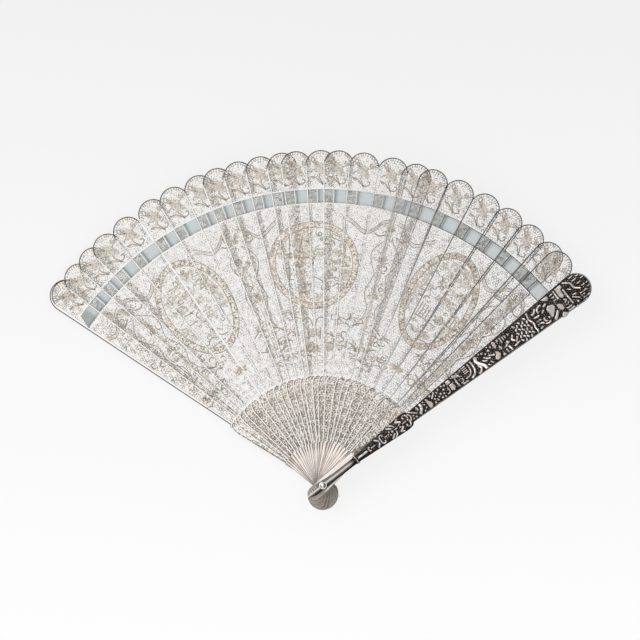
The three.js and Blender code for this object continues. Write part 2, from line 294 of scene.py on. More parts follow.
def measured(flow, axis):
    """One coordinate of the drawing, in millimetres."""
    return flow.node("ShaderNodeSeparateXYZ", values={0: drawing(flow)}, output=axis) / MM


def stick_shade(flow):
    """A number from 0 to 1 that each stick has of its own."""
    return flow.node("ShaderNodeAttribute", {"attribute_name": "shade"}, output=2)


def spots(flow, scale, detail=2.0, stretch=None):
    """Cloudy noise from 0 to 1 on the piece's own drawing, drawn out along it if asked."""
    where = drawing(flow)
    if stretch:
        where = flow.node("ShaderNodeMapping", values={"Vector": where, "Scale": stretch})
    return flow.node("ShaderNodeTexNoise", values={"Vector": where, "Scale": scale, "Detail": detail})


def ramp(value, start, end):
    """0 at one value and 1 at another, which may be the smaller one."""
    return ((value - start) / (end - start)).clamp()


def rubbed_and_shaded(dark, bright, low, high, scale, cloudy):
    """Metal that is dark at a low height, with tarnish and painted shade, and bright at a high one, with
    cloudy tarnish between.
    """
    def colour(flow):
        cloud = spots(flow, scale, 4.0) * cloudy - cloudy / 2
        lifted = ramp(measured(flow, 2), low, high)
        return flow.mix((lifted + cloud * (0.3 + 0.7 * lifted)).clamp(), dark, bright)
    return colour


print("rules ready")

# %% [markdown]
# ## Wire
# The sticks are silver wire, frosted by annealing and pickling, between brighter polished rims. The
# flowers, leaves and medallions are laid on in gilt wire that has gone pale. Some of the wire is grey
# with tarnish, and the same dark wire is also painted shade where one stick covers the next and beside
# the rims. The wire round the tips is nearly black, as painted shade along their edge. The close-set wire
# of the gorges is worn bright in spots.

# %% Finishes of wire
def drawn_wire(name, colour, least, spread, grip):
    """Wire with the fine marks that a draw plate leaves."""
    return principled(name, colour, lambda flow: least + spread * spots(flow, 2500),
                      lambda flow: (spots(flow, 6000, 3.0), grip))


def grain(flow):
    worn = 5.4 * spots(flow, 1300) - 2.05 + 0.4 * stick_shade(flow)
    return flow.mix(worn.clamp(), (0.19, 0.158, 0.13, 1), (1, 0.93, 0.86, 1))


frosted = drawn_wire(
    "frosted_silver_wire", rubbed_and_shaded((0.04, 0.037, 0.033, 1), (0.8, 0.745, 0.675, 1), 0, 0.6, 1300, 5.0),
    0.34, 0.2, 0.25)
tarnish_and_shade = drawn_wire(
    "tarnish_and_shade_wire", rubbed_and_shaded((0.03, 0.027, 0.024, 1), (0.38, 0.353, 0.32, 1), 0, 0.7, 1500, 4.0),
    0.3, 0.2, 0.25)
tip_edge_shade = drawn_wire(
    "tip_edge_shade_wire", rubbed_and_shaded((0.02, 0.018, 0.016, 1), (0.2, 0.185, 0.168, 1), 0, 0.7, 1500, 4.0),
    0.3, 0.2, 0.25)
gilt = drawn_wire(
    "pale_gilt_wire", rubbed_and_shaded((0.25, 0.211, 0.174, 1), (0.55, 0.475, 0.4, 1), 0.1, 0.55, 700, 1.2),
    0.36, 0.16, 0.2)
aged = drawn_wire(
    "aged_gilt_wire", rubbed_and_shaded((0.12, 0.102, 0.086, 1), (0.33, 0.286, 0.245, 1), 0.1, 0.55, 700, 1.2),
    0.36, 0.16, 0.2)
grained = drawn_wire("grained_wire", grain, 0.3, 0.2, 0.25)
polished = principled(
    "polished_rim", rubbed_and_shaded((0.2, 0.19, 0.18, 1), (0.97, 0.96, 0.94, 1), 0.2, 0.42, 500, 0.2),
    lambda flow: 0.03 + 0.06 * spots(flow, 900))
print("finishes of wire from", frosted.name, "to", polished.name)

# %% [markdown]
# ## Plain lower ends
# The plates at the lower end of the sticks are burnished and have a faint pink-cream tone, each a little
# different. A dark band along their edges is painted shade, for the dark line between one plate and the
# next, and below the rivet they turn dark brown. Marks of the burnisher run lengthwise, so the noise is
# drawn out along the stick.

# %% Finish of the plates
WAIST_REACH, WAIST_HALF, TAIL_HALF = 17.0, 3.1, 3.9
EDGE_SHADE_START, EDGE_SHADE_END = 0.38, 0.16
BROWN_START, BROWN_END = 1.0, -3.0


def burnish(flow):
    worn = (1.7 * stick_shade(flow) + 2.4 * spots(flow, 300, 5.0, (4, 0.25, 1)) - 1.0).clamp()
    marks = flow.mix(worn, (0.46, 0.35, 0.285, 1), (1, 0.93, 0.875, 1))
    along = measured(flow, 1)
    taper = (TAIL_HALF - WAIST_HALF) / WAIST_REACH
    to_edge = (TAIL_HALF - taper * flow.maths("MAXIMUM", along, 0.0)
               - flow.maths("ABSOLUTE", measured(flow, 0)))
    # A dark band along both edges of the plate is painted shade.
    edge_shade = ramp(to_edge, EDGE_SHADE_START, EDGE_SHADE_END) * (0.5 + 0.6 * spots(flow, 250, 3.0))
    marks = flow.mix(edge_shade, marks, (0.1, 0.08, 0.07, 1))
    browned = ramp(along, BROWN_START, BROWN_END) * (0.6 + 0.4 * spots(flow, 700, 4.0, (4, 0.3, 1)))
    brown = flow.mix(worn, (0.03, 0.025, 0.022, 1), (0.25, 0.207, 0.178, 1))
    return flow.mix(browned * (1 - 0.6 * edge_shade), marks, brown)


burnished = principled(
    "burnished_plate", burnish,
    lambda flow: 0.16 + 0.2 * spots(flow, 1500, 4.0, (3, 0.08, 1)),
    lambda flow: (spots(flow, 2600, 4.0, (3, 0.05, 1)), 0.12), metallic=0.45)
FROSTED, POLISHED, TARNISH_AND_SHADE, GILT, BURNISHED, AGED, GRAINED, TIP_EDGE_SHADE = range(8)
STICK_FINISHES = (frosted, polished, tarnish_and_shade, gilt, burnished, aged, grained, tip_edge_shade)
print("finishes on a stick:", ", ".join(material.name for material in STICK_FINISHES))

# %% [markdown]
# ## Guards and silk
# The guards are cast silver, black with oxide in the ground and worn bright on the high points. On the
# neck a bright stripe along its inner side is a painted highlight, and a black stripe along the outer one
# is a painted reflection of the dark room. The face towards the sticks is a mirror, so the gaps of the
# first stick stay white. The ribbon is pale blue silk, cloudy with age, with painted shade where it goes
# down into a slot, and a fine rib across it.

# %% Finishes of the guards and the ribbon
def painted_neck_sheen(flow):
    # A stripe just inside the middle is a painted highlight, both sides fall off in painted shade, and a
    # black stripe on the outer side is a painted reflection of a dark room.
    aside = measured(flow, 0) + 0.5 * spots(flow, 300, 3.0) - 0.25
    grey = flow.mix(ramp(aside, -0.35, -1.05), (0.84, 0.79, 0.76, 1), (0.24, 0.215, 0.2, 1))
    shaded_side = flow.mix(ramp(aside, 0.05, 0.45), grey, (0.23, 0.205, 0.19, 1))
    dark = ramp(aside, 0.7, 1.15) - ramp(aside, 1.75, 2.15)
    return flow.mix(dark, shaded_side, (0.022, 0.019, 0.018, 1))


def inner_face(flow):
    return flow.mix(spots(flow, 240, 5.0, (3, 0.3, 1)), (0.93, 0.92, 0.905, 1), (0.99, 0.985, 0.975, 1))


def threaded(flow):
    silk_tone = flow.mix(spots(flow, 260, 4.0), (0.43, 0.47, 0.478, 1), (0.57, 0.61, 0.618, 1))
    # Towards the slot the silk turns darker: painted shade where it goes down into the slot.
    return flow.mix(ramp(measured(flow, 0), -1.0, 1.2), (0.3, 0.328, 0.334, 1), silk_tone)


def ribs(flow):
    values = {"Vector": drawing(flow), "Scale": 900.0, "Distortion": 0.6, "Detail": 1.0}
    return flow.node("ShaderNodeTexWave", {"bands_direction": "Y"}, values), 0.3


chased = principled(
    "chased_relief", rubbed_and_shaded((0.021, 0.0175, 0.016, 1), (0.69, 0.63, 0.595, 1), 1.8, 2.5, 700, 1.0),
    lambda flow: 0.26 + 0.2 * spots(flow, 1500, 3.0),
    lambda flow: (spots(flow, 2500, 4.0), 0.3))
neck_painted_sheen = principled(
    "neck_silver_painted_sheen", painted_neck_sheen, lambda flow: 0.16 + 0.14 * spots(flow, 1200, 4.0, (3, 0.1, 1)))
mirror_back = principled(
    "guard_inner_face", inner_face, lambda flow: 0.05 + 0.08 * spots(flow, 900, 4.0, (3, 0.1, 1)))
silk = principled(
    "ribbon_silk", threaded, lambda flow: 0.42 + 0.2 * spots(flow, 1800, 2.0, (1, 6, 1)), ribs,
    metallic=0.0, Sheen_Weight=0.3, Sheen_Roughness=0.4)
print("finishes of the rest:", ", ".join(made.name for made in (chased, neck_painted_sheen, mirror_back, silk)))

# %% [markdown]
# ## Wires, sheets, leaves and beads
# Filigree is made from a few kinds of stock, and so is this model. A bent wire is a small ring of
# vertices that is extruded along a path, one step at a time. A sheet is an outline, with its holes, that
# is filled and extruded to a thickness. A leaf is a low stretched cone, and a bead a flat sphere. Each is
# a small bmesh in millimetres, which is then poured into the piece that it is soldered to.

# %% Stock for soldering
UP = Vector((0, 0, 1))
SHARP = 1.2
LEAF_SIDES = 6
scrap = bpy.data.meshes.new("scrap")


def pour(target, part, finish=0, place=None, smooth=False):
    """Adds a small bmesh to a larger one, in a finish and at a place. Caps of rods stay flat."""
    if place is not None:
        part.transform(place)
    for face in part.faces:
        face.material_index, face.smooth = finish, smooth and len(face.verts) < 5
    part.to_mesh(scrap)
    target.from_mesh(scrap)
    part.free()


def grown_parts(grown, kind):
    return [piece for piece in grown["geom"] if isinstance(piece, kind)]


def extruded(sections, sides):
    """A rod of a few sides that is extruded from one section to the next."""
    form = bmesh.new()
    reach = 0.5 / cos(pi / sides)
    flat_top = Matrix.Rotation(pi / sides, 4, "Z")
    bmesh.ops.create_circle(form, cap_ends=True, segments=sides, radius=reach, matrix=flat_top)
    form.transform(sections[0])
    tip = form.faces[:]
    for before, after in zip(sections, sections[1:]):
        grown = bmesh.ops.extrude_face_region(form, geom=tip)
        tip = grown_parts(grown, bmesh.types.BMFace)
        ring = grown_parts(grown, bmesh.types.BMVert)
        bmesh.ops.transform(form, matrix=after @ before.inverted(), verts=ring)
    bmesh.ops.recalc_face_normals(form, faces=form.faces)
    return form


def wire(path, width, height, sides=4):
    """A flat wire along points (x, y, z)."""
    points = [Vector(point) for point in path]
    last = len(points) - 1
    sections = []
    for i, point in enumerate(points):
        ahead = (points[min(i + 1, last)] - points[max(i - 1, 0)]).normalized()
        aside = ahead.cross(UP).normalized()
        section = Matrix((aside * width, aside.cross(ahead) * height, ahead)).transposed().to_4x4()
        section.translation = point
        sections.append(section)
    return extruded(sections, sides)


def sheet(outlines, low, high, bevel=0.0):
    """A flat sheet with the first outline as its edge and the others as holes."""
    form = bmesh.new()
    edges = []
    for outline in outlines:
        corners = [form.verts.new((x, y, low)) for x, y in outline]
        edges += [form.edges.new((corners[i - 1], corners[i])) for i in range(len(corners))]
    bmesh.ops.triangle_fill(form, use_beauty=True, edges=edges)
    raised = grown_parts(bmesh.ops.extrude_face_region(form, geom=form.faces[:]), bmesh.types.BMVert)
    bmesh.ops.translate(form, vec=(0, 0, high - low), verts=raised)
    bmesh.ops.recalc_face_normals(form, faces=form.faces)
    if bevel:
        top = [edge for edge in form.edges if edge.calc_face_angle(0) > SHARP
               and all(vert.co.z > (low + high) / 2 for vert in edge.verts)]
        bmesh.ops.bevel(form, geom=top, offset=bevel, offset_type="OFFSET", segments=2, profile=0.5,
                        affect="EDGES", material=-1)
    return form


def leaf(length, width, height):
    form = bmesh.new()
    bmesh.ops.create_cone(form, cap_ends=True, segments=LEAF_SIDES, radius1=1, radius2=0, depth=1)
    bmesh.ops.translate(form, vec=(0, 0, 0.5), verts=form.verts)
    bmesh.ops.scale(form, vec=(width / 2, length / 2, height), verts=form.verts)
    return form


def bead(radius, height, around=8):
    form = bmesh.new()
    bmesh.ops.create_uvsphere(form, u_segments=around, v_segments=4, radius=1)
    bmesh.ops.scale(form, vec=(radius, radius, height), verts=form.verts)
    return form


def spot(x, y, z=0.0, turn=0.0):
    return Matrix.Translation((x, y, z)) @ Matrix.Rotation(turn, 4, "Z")


print("stock ready")

# %% [markdown]
# ## From a drawing to a piece
# A finished drawing becomes one object. Before it is laid in its place in the fan, its points are kept in
# the `place` attribute that the finishes read, with one shade for the whole piece. The object itself
# stays at the origin, rides on its body and stands for the plain solid of that body.

# %% Make a piece and hide the solids that it stands for
def finish_piece(name, form, place, materials, body, slot, *nodes, shade=1.0):
    mesh = mesh_of(form, name)
    mesh.transform(Matrix.Scale(MM, 4))
    points = [0.0] * (3 * len(mesh.vertices))
    mesh.vertices.foreach_get("co", points)
    mesh.attributes.new("place", "FLOAT_VECTOR", "POINT").data.foreach_set("vector", points)
    mesh.attributes.new("shade", "FLOAT", "POINT").data.foreach_set("value", [shade] * len(mesh.vertices))
    mesh.transform(place @ Matrix.Scale(1 / MM, 4))
    for material in materials:
        mesh.materials.append(material)
    piece = add_object(name, mesh)
    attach(piece, body)
    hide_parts(*nodes)
    return piece


print("pieces can be finished")

# %% [markdown]
# ## A stick's outline
# From the rivet up, a stick is a plain plate with a rounded tail, a waisted gorge with round shoulders,
# and a long blade that widens to a round tip. The sizes are those of the solids. One rule gives half the
# width at any reach, and the rims, the filigree and the ornament all ask it where the metal ends.

# %% Sizes of a stick, in millimetres
STICK_LENGTH, TIP_HALF = 184.2, 8.4
TIP_CENTRE = STICK_LENGTH - TIP_HALF
SHOULDER, BLADE_ROOT_HALF = 60.5, 2.9
GORGE_HALF, GORGE_ROUNDING = 5.8, 6.5
PLATE_REACH, PLATE_HALF = 23.6, 3.4
RIM = 0.5
RIBBON_REACH, RIBBON_WIDTH, BAND_HALF = 159.0, 7.4, 4.0
BAND_LOW, BAND_HIGH = RIBBON_REACH - BAND_HALF, RIBBON_REACH + BAND_HALF
SLOT_MIDDLE, SLOT_HALF = -1.0, 0.85
SHOULDER_STEPS, BLADE_STEPS, BLADE_STEP = 6, 6, 16.4
RIM_FOOT, RIM_ROOT = 0.4, 0.5


def straight(value, start, start_half, end, end_half):
    return start_half + (value - start) / (end - start) * (end_half - start_half)


def profile(foot, foot_half, gorge_half, rounding, root_half, tip_centre, tip_half):
    """A rule for half the width of a stick or guard at a reach from the rivet, from its foot up."""
    gorge_end = SHOULDER - rounding

    def half(y):
        if y > tip_centre:
            return sqrt(max(0.0, tip_half ** 2 - (y - tip_centre) ** 2))
        if y >= SHOULDER:
            return straight(y, SHOULDER, root_half, tip_centre, tip_half)
        if y > gorge_end:
            bend = 1 - sqrt(max(0.0, 1 - (y - gorge_end) / rounding))
            return gorge_half + (root_half - gorge_half) * bend ** 2
        return straight(y, foot, foot_half, gorge_end, gorge_half)
    return half


half_width = profile(PLATE_REACH, PLATE_HALF, GORGE_HALF, GORGE_ROUNDING, BLADE_ROOT_HALF,
                     TIP_CENTRE, TIP_HALF)


def within(x, y, margin):
    """Whether a place on the filigree is at least a margin inside the stick's edge."""
    if y > TIP_CENTRE:
        return hypot(x, y - TIP_CENTRE) < TIP_HALF - margin
    return PLATE_REACH + margin < y and abs(x) < half_width(y) - margin


def arc(x, y, radius, start, end, steps):
    turns = [start + (end - start) * step / steps for step in range(steps + 1)]
    return [(x + radius * cos(turn), y + radius * sin(turn)) for turn in turns]


def mirrored(points, side=-1):
    return [(side * x, y) for x, y in points]


def rim_side(inset):
    """The right edge of a stick from the plate to the tip's quarter, pulled inwards."""
    side = [(half_width(PLATE_REACH) - inset, PLATE_REACH - RIM_FOOT)]
    for step in range(SHOULDER_STEPS + 1):
        share = step / SHOULDER_STEPS
        y = SHOULDER - GORGE_ROUNDING * (1 - share) ** 2
        side.append((half_width(y) - inset, y - inset * share))
    side.append((BLADE_ROOT_HALF - inset, SHOULDER + RIM_ROOT))
    reaches = [SHOULDER + step * BLADE_STEP for step in range(1, BLADE_STEPS + 1)]
    return side + [(half_width(y) - inset, y) for y in reaches]


print("blade from", SHOULDER, "to", STICK_LENGTH, "mm, widest", 2 * TIP_HALF, "mm")

# %% [markdown]
# ## Filigree ground
# The panes are filled with small C-scrolls of fine wire, soldered to each other and to the rim. One
# scroll is a triangle of vertices that is spun most of a turn, so it has only a few dozen faces. It is
# stamped on a staggered grid with a little hand-made unevenness from a seeded source. Most scrolls are
# frosted and some are worn bright, which gives the ground its sparkle. Where the next stick covers a
# stick, the strip there is closer and dark: painted shade for the shadow of the stick above. It is wider
# where two sticks lie close together.

# %% One scroll, stamped over the panes
chance = random.Random(25)
SCROLL_STEPS, SCROLL_SWEEP = 8, radians(325)
BLADE_MIX = (FROSTED,) * 8 + (POLISHED,) * 2
GORGE_MIX = (GRAINED,) * 7 + (GILT,)
BLADE_PITCH, GORGE_PITCH, ROW_PITCH, UNEVEN = 1.6, 1.7, 0.866, 0.12
COVERED_LEAST, COVERED_MOST, COVERED_MORE = 2.0, 5.0, 0.6
SHADE_UNDER_NEXT_STICK, DARK_FIRST_STICK, DARK_ON_BAND = 0.9, 0.4, 0.1
TOP_SINK, UNDER_SINK = 0.03, 0.1
BLADE_CLEAR, GORGE_CLEAR, BAND_CLEAR, SLOT_CLEAR = 0.35, 0.25, 0.55, 0.75
PANE_FOOT, BLADE_FOOT, GORGE_END = 0.6, 0.4, 0.6


def scroll(radius, gauge):
    """A scroll of three-sided wire, whose flat upper side lies at height 0."""
    form = bmesh.new()
    upright = Matrix.Translation((radius, 0, -gauge / 4)) @ Matrix.Rotation(-pi / 2, 4, "X")
    bmesh.ops.create_circle(form, cap_ends=True, segments=3, radius=gauge / 2, matrix=upright)
    bmesh.ops.spin(form, geom=form.faces[:], cent=(0, 0, 0), axis=(0, 0, 1), angle=SCROLL_SWEEP,
                   steps=SCROLL_STEPS, use_merge=False)
    bmesh.ops.recalc_face_normals(form, faces=form.faces)
    return mesh_of(form, "scroll")


def stamp(target, mesh, finish, x, y, z):
    part = bmesh.new()
    part.from_mesh(mesh)
    pour(target, part, finish, spot(x, y, z, chance.uniform(0, 2 * pi)))


def on_band(y):
    return BAND_LOW < y < BAND_HIGH


def is_covered(index, x, y):
    """Whether a place lies on the strip along a stick's right edge that the next stick covers."""
    overlap = 2 * half_width(y) - (next_angle(index) - angles[index]) * y
    return x > half_width(y) - min(max(COVERED_LEAST, overlap + COVERED_MORE), COVERED_MOST)


def dark_share(index, y, margin):
    if margin:
        return SHADE_UNDER_NEXT_STICK
    if index == 0:
        return DARK_FIRST_STICK
    return DARK_ON_BAND if on_band(y) else 0


def fill(target, index, mesh, mix, pitch, low, high, inside):
    """Stamps a scroll over a staggered grid in a pane, with more, dark ones between them as painted shade
    where a stick is covered.
    """
    count, row = 0, 0
    y, shift = low + chance.uniform(0, pitch), chance.uniform(0, 1)
    columns = ceil(TIP_HALF / pitch) + 1
    while y < high:
        for column in range(-columns, columns + 1):
            x = (column + shift + 0.5 * (row % 2) + chance.uniform(-UNEVEN, UNEVEN)) * pitch
            if inside(x, y):
                # On the strip that the next stick covers, the dark scrolls and the extra dark ones between
                # them are painted shade.
                margin = is_covered(index, x, y)
                dark = chance.random() < dark_share(index, y, margin)
                finish = TARNISH_AND_SHADE if dark else chance.choice(mix)
                stamp(target, mesh, finish, x, y, STICK_THICKNESS - TOP_SINK)
                between = x + pitch / 2, y + pitch / 3
                if margin and inside(*between):
                    stamp(target, mesh, TARNISH_AND_SHADE, *between, STICK_THICKNESS - UNDER_SINK)
                count += 1
        y += pitch * ROW_PITCH
        row += 1
    return count


def blade_pane(x, y):
    clear_of_band = min(abs(y - BAND_LOW), abs(y - BAND_HIGH)) > BAND_CLEAR
    beside_slot = not on_band(y) or abs(x - SLOT_MIDDLE) > SLOT_HALF + SLOT_CLEAR
    return within(x, y, RIM + BLADE_CLEAR) and y > SHOULDER + BLADE_FOOT and clear_of_band and beside_slot


def gorge_pane(x, y):
    return within(x, y, RIM + GORGE_CLEAR) and y < SHOULDER - GORGE_END


panes = []
blade_scroll, gorge_scroll = scroll(radius=0.66, gauge=0.28), scroll(radius=0.7, gauge=0.44)
for index in range(STICK_COUNT):
    pane = bmesh.new()
    blade_cells = fill(pane, index, blade_scroll, BLADE_MIX, BLADE_PITCH, SHOULDER + PANE_FOOT, STICK_LENGTH,
                       blade_pane)
    gorge_cells = fill(pane, index, gorge_scroll, GORGE_MIX, GORGE_PITCH, PLATE_REACH + PANE_FOOT, SHOULDER,
                       gorge_pane)
    panes.append(pane)
print("scrolls on the last stick:", blade_cells, "in the blade,", gorge_cells, "in the gorge")

# %% [markdown]
# ## Rims and cross wires
# A flat wire runs up each side of a stick. Its flat top flashes as one white line, and a thin dark wire
# lies inside it, partly tarnish and partly painted shade beside the rim. Round the tip the edge is a nearly
# black wire, painted shade along the tip's edge, and inside it a thin arc with short spokes makes the row
# of little cells that edges the fan. The spokes are uneven, as in hand work. Cross wires close the panes
# at the shoulder and above and below the ribbon, and two short ones frame the slot.

# %% Bend the rims and the cross wires
MID = STICK_THICKNESS / 2
INNER_SHADE_WIRE, TIP_EDGE, GORGE_SHADE_WIRE, CROSS_WIRE, SLOT_WIRE = 0.12, 0.52, 0.36, 0.45, 0.4
SIDE_END, EDGE_END, CELL_END = 0.08, 0.02, -0.1
DULL_SINK, GORGE_INSET = 0.03, 0.4
DULL_TALL = STICK_THICKNESS - 2 * DULL_SINK
CELL_DEPTH, CELL_WIRE, CELL_TALL = 1.2, 0.26, 0.4
SPOKES, SPOKE_WIRE, SPOKE_PLACE, SPOKE_LONGER = 17, 0.3, (0.2, 0.8), 0.8


def round_the_tip(inset, steps):
    side = rim_side(inset)
    over = arc(0, TIP_CENTRE, TIP_HALF - inset, SIDE_END, pi - SIDE_END, steps)
    return side, over, mirrored(reversed(side))


def level(points, z=MID):
    return [(x, y, z) for x, y in points]


ground = bmesh.new()
right, over, left = round_the_tip(RIM / 2, 18)
for side in (right + over[:2], over[-2:] + left):
    pour(ground, wire(level(side), RIM, STICK_THICKNESS), POLISHED)
# The nearly black edge wire round the tip is painted shade along the tip's edge.
edge = arc(0, TIP_CENTRE, TIP_HALF - TIP_EDGE / 2, EDGE_END, pi - EDGE_END, 20)
pour(ground, wire(level(edge), TIP_EDGE, STICK_THICKNESS, sides=6), TIP_EDGE_SHADE)
# The thin dark wire inside each rim is partly tarnish and partly painted shade beside the rim.
right, over, left = round_the_tip(RIM + INNER_SHADE_WIRE / 2, 16)
for side in (right + over[:1], over[-1:] + left):
    pour(ground, wire(level(side, MID - DULL_SINK), INNER_SHADE_WIRE, DULL_TALL), TARNISH_AND_SHADE)
# Inside the gorge's edges a dark wire, too, is partly tarnish and partly painted shade beside the rim.
gorge_side = [(x - GORGE_INSET, y) for x, y in right if y < SHOULDER]
for side in (1, -1):
    path = level(mirrored(gorge_side, side), MID - DULL_SINK)
    pour(ground, wire(path, GORGE_SHADE_WIRE, DULL_TALL), TARNISH_AND_SHADE)
for y in (SHOULDER, BAND_LOW, BAND_HIGH):
    half = half_width(y) - RIM / 2
    pour(ground, wire(level([(-half, y), (half, y)]), CROSS_WIRE, STICK_THICKNESS), POLISHED)
for side in (-1, 1):
    x = SLOT_MIDDLE + side * (SLOT_HALF + SLOT_WIRE / 2)
    pour(ground, wire(level([(x, BAND_LOW), (x, BAND_HIGH)]), SLOT_WIRE, STICK_THICKNESS), POLISHED)

inner = TIP_HALF - RIM - CELL_DEPTH
cell_edge = arc(0, TIP_CENTRE, inner, CELL_END, pi - CELL_END, 14)
pour(ground, wire(level(cell_edge), CELL_WIRE, CELL_TALL), FROSTED)
for spoke in range(SPOKES):
    turn = pi * (spoke + chance.uniform(*SPOKE_PLACE)) / SPOKES
    reaches = (inner - chance.uniform(0, SPOKE_LONGER), TIP_HALF - RIM)
    ends = [(reach * cos(turn), TIP_CENTRE + reach * sin(turn)) for reach in reaches]
    pour(ground, wire(level(ends), SPOKE_WIRE, CELL_TALL), TARNISH_AND_SHADE)
print("faces of a stick's rims:", len(ground.faces))

# %% [markdown]
# ## A spray on every tip
# Each tip carries the same gilt spray: a blossom with a bud that curls up on its left, a leaf on its
# right, and a stem with a long leaf and a curl below. The blossom is a clump of the finest scrolls, so it
# reads as a tan blot from a step away. The rest is bent wire. It lies on the ground wires and stays below
# the next stick's level. A row of the first table is a clump's place from the tip's centre, half its size
# and its mix of finishes, and a row of the second is a wire's width, its finish and its points.

# %% Solder the spray
LAID_ON, LAID_TALL, CLUMP_TOP = 0.42, 0.22, 0.54
FINE_PITCH, DRAWN_STEP = 1.1, 0.9
CLUMP_MIX, PETAL_MIX, LEAF_MIX = (GILT, AGED, AGED), (GILT, GILT, AGED), (AGED, AGED, GILT)
BLOSSOM = (
    (-0.4, -1.4, 3.2, 3.2, PETAL_MIX), (4.3, 1.4, 2.1, 1.1, LEAF_MIX), (-2.8, 1.8, 1.5, 1.3, LEAF_MIX),
    (2.4, -4.4, 1.3, 1.2, LEAF_MIX), (-3.6, -6.6, 1.6, 0.9, PETAL_MIX))
SPRAY = (
    (0.6, AGED, (-2.2, 0.6), (-4, 1.4), (-5.3, 3), (-4.5, 4.4), (-3.3, 3.6), (-3.8, 2.6)),
    (0.6, AGED, (-5.6, -6.2), (-3.4, -6.4), (-1.2, -8), (0.8, -10.2)),
    (0.4, GILT, (-4.8, -7.2), (-2.8, -7.8), (-0.8, -9.2)),
    (0.55, AGED, (-0.5, -4), (-0.9, -6.4), (0.2, -8.4), (1.1, -10.8)),
    (0.6, AGED, (0.9, -9.8), (2.6, -9.9), (4.1, -8.8), (3.7, -7.3), (2.5, -7.6)),
    (0.5, GILT, (1.6, -0.6), (3.4, -0.4), (5.2, 0.6), (6.2, 2.2)),
    (0.5, AGED, (-3, -2), (-4.6, -2.6), (-5.4, -4)))
fine_scroll = scroll(radius=0.36, gauge=0.38)


def smooth_line(points):
    """Close points of an even curve through a few given ones."""
    ends = [points[0], *points, points[-1]]
    path = []
    for corners in zip(ends, ends[1:], ends[2:], ends[3:]):
        count = max(1, ceil((Vector(corners[2]) - Vector(corners[1])).length / DRAWN_STEP))
        for step in range(count):
            t = step / count
            path.append([0.5 * (2 * b + (c - a) * t + (2 * a - 5 * b + 4 * c - d) * t ** 2
                                + (3 * b - a - 3 * c + d) * t ** 3) for a, b, c, d in zip(*corners)])
    return path + [points[-1]]


def clump(half_u, half_v, square=False):
    """Places of a fine staggered grid inside an oval or a rectangle."""
    rows, columns = ceil(half_v / FINE_PITCH) + 1, ceil(half_u / FINE_PITCH) + 1
    grid = [((column + 0.5 * (row % 2)) * FINE_PITCH, row * FINE_PITCH * ROW_PITCH)
            for row in range(-rows, rows + 1) for column in range(-columns, columns + 1)]
    if square:
        return [(u, v) for u, v in grid if abs(u) <= half_u and abs(v) <= half_v]
    return [(u, v) for u, v in grid if hypot(u / half_u, v / half_v) <= 1]


for x, y, half_x, half_y, mix in BLOSSOM:
    for u, v in clump(half_x, half_y):
        stamp(ground, fine_scroll, chance.choice(mix), x + u, TIP_CENTRE + y + v, CLUMP_TOP)
for width, finish, *points in SPRAY:
    bent = [(x, TIP_CENTRE + y) for x, y in smooth_line(points)]
    pour(ground, wire(level(bent, LAID_ON), width, LAID_TALL), finish)
openwork = mesh_of(ground, "openwork")
print("faces with the spray:", len(openwork.polygons))

# %% [markdown]
# ## Ornament across the sticks
# Medallions, pendants and garlands run over several sticks. The maker laid the open fan flat, drew the
# whole and gave every stick its own slice, so that they meet only when the fan is spread. Here a drawing
# board lies on the open fan at an angle and a reach. A line that is drawn on it is bent into wire, and
# cut wherever it passes from one stick to the next. On an old fan the slices no longer meet exactly, so
# here each one is slipped a little along its stick. Patches are clumps of gilt scrolls that are finer
# than those of the ground.

# %% A drawing board on the open fan
SLIP, PATCH_SINK, LEAF_BASE, LEAF_TALL = 0.7, 0.08, 0.36, 0.2
THIN_LINE, DARK_LINE, OWNED_MARGIN = 0.4, 0.42, RIM * 0.6
CURL_RADIUS, CURL_SWEEP, CURL_WIDTH, CURL_SINK = (0.7, 1.7), (2.2, 4.0), (0.35, 0.6), 0.14
CURL_MIX = (AGED, TARNISH_AND_SHADE, GILT)
ornament = [bmesh.new() for stick in sticks]
slips = [chance.uniform(-SLIP, SLIP) for stick in sticks]


def on_stick(index, x, y):
    """A place of the open fan in a stick's own drawing."""
    turn = angles[index]
    return x * cos(turn) - y * sin(turn), x * sin(turn) + y * cos(turn)


def drawn_on(index, x, y):
    """The same for a drawing, whose slice has slipped a little along the stick."""
    aside, reach = on_stick(index, x, y)
    return aside, reach + slips[index]


def owner(x, y):
    """The uppermost stick at a place of the open fan, if its blade is there at all."""
    for index in reversed(range(STICK_COUNT)):
        aside, reach = on_stick(index, x, y)
        if reach > SHOULDER and within(aside, reach, OWNED_MARGIN):
            return index
    return None


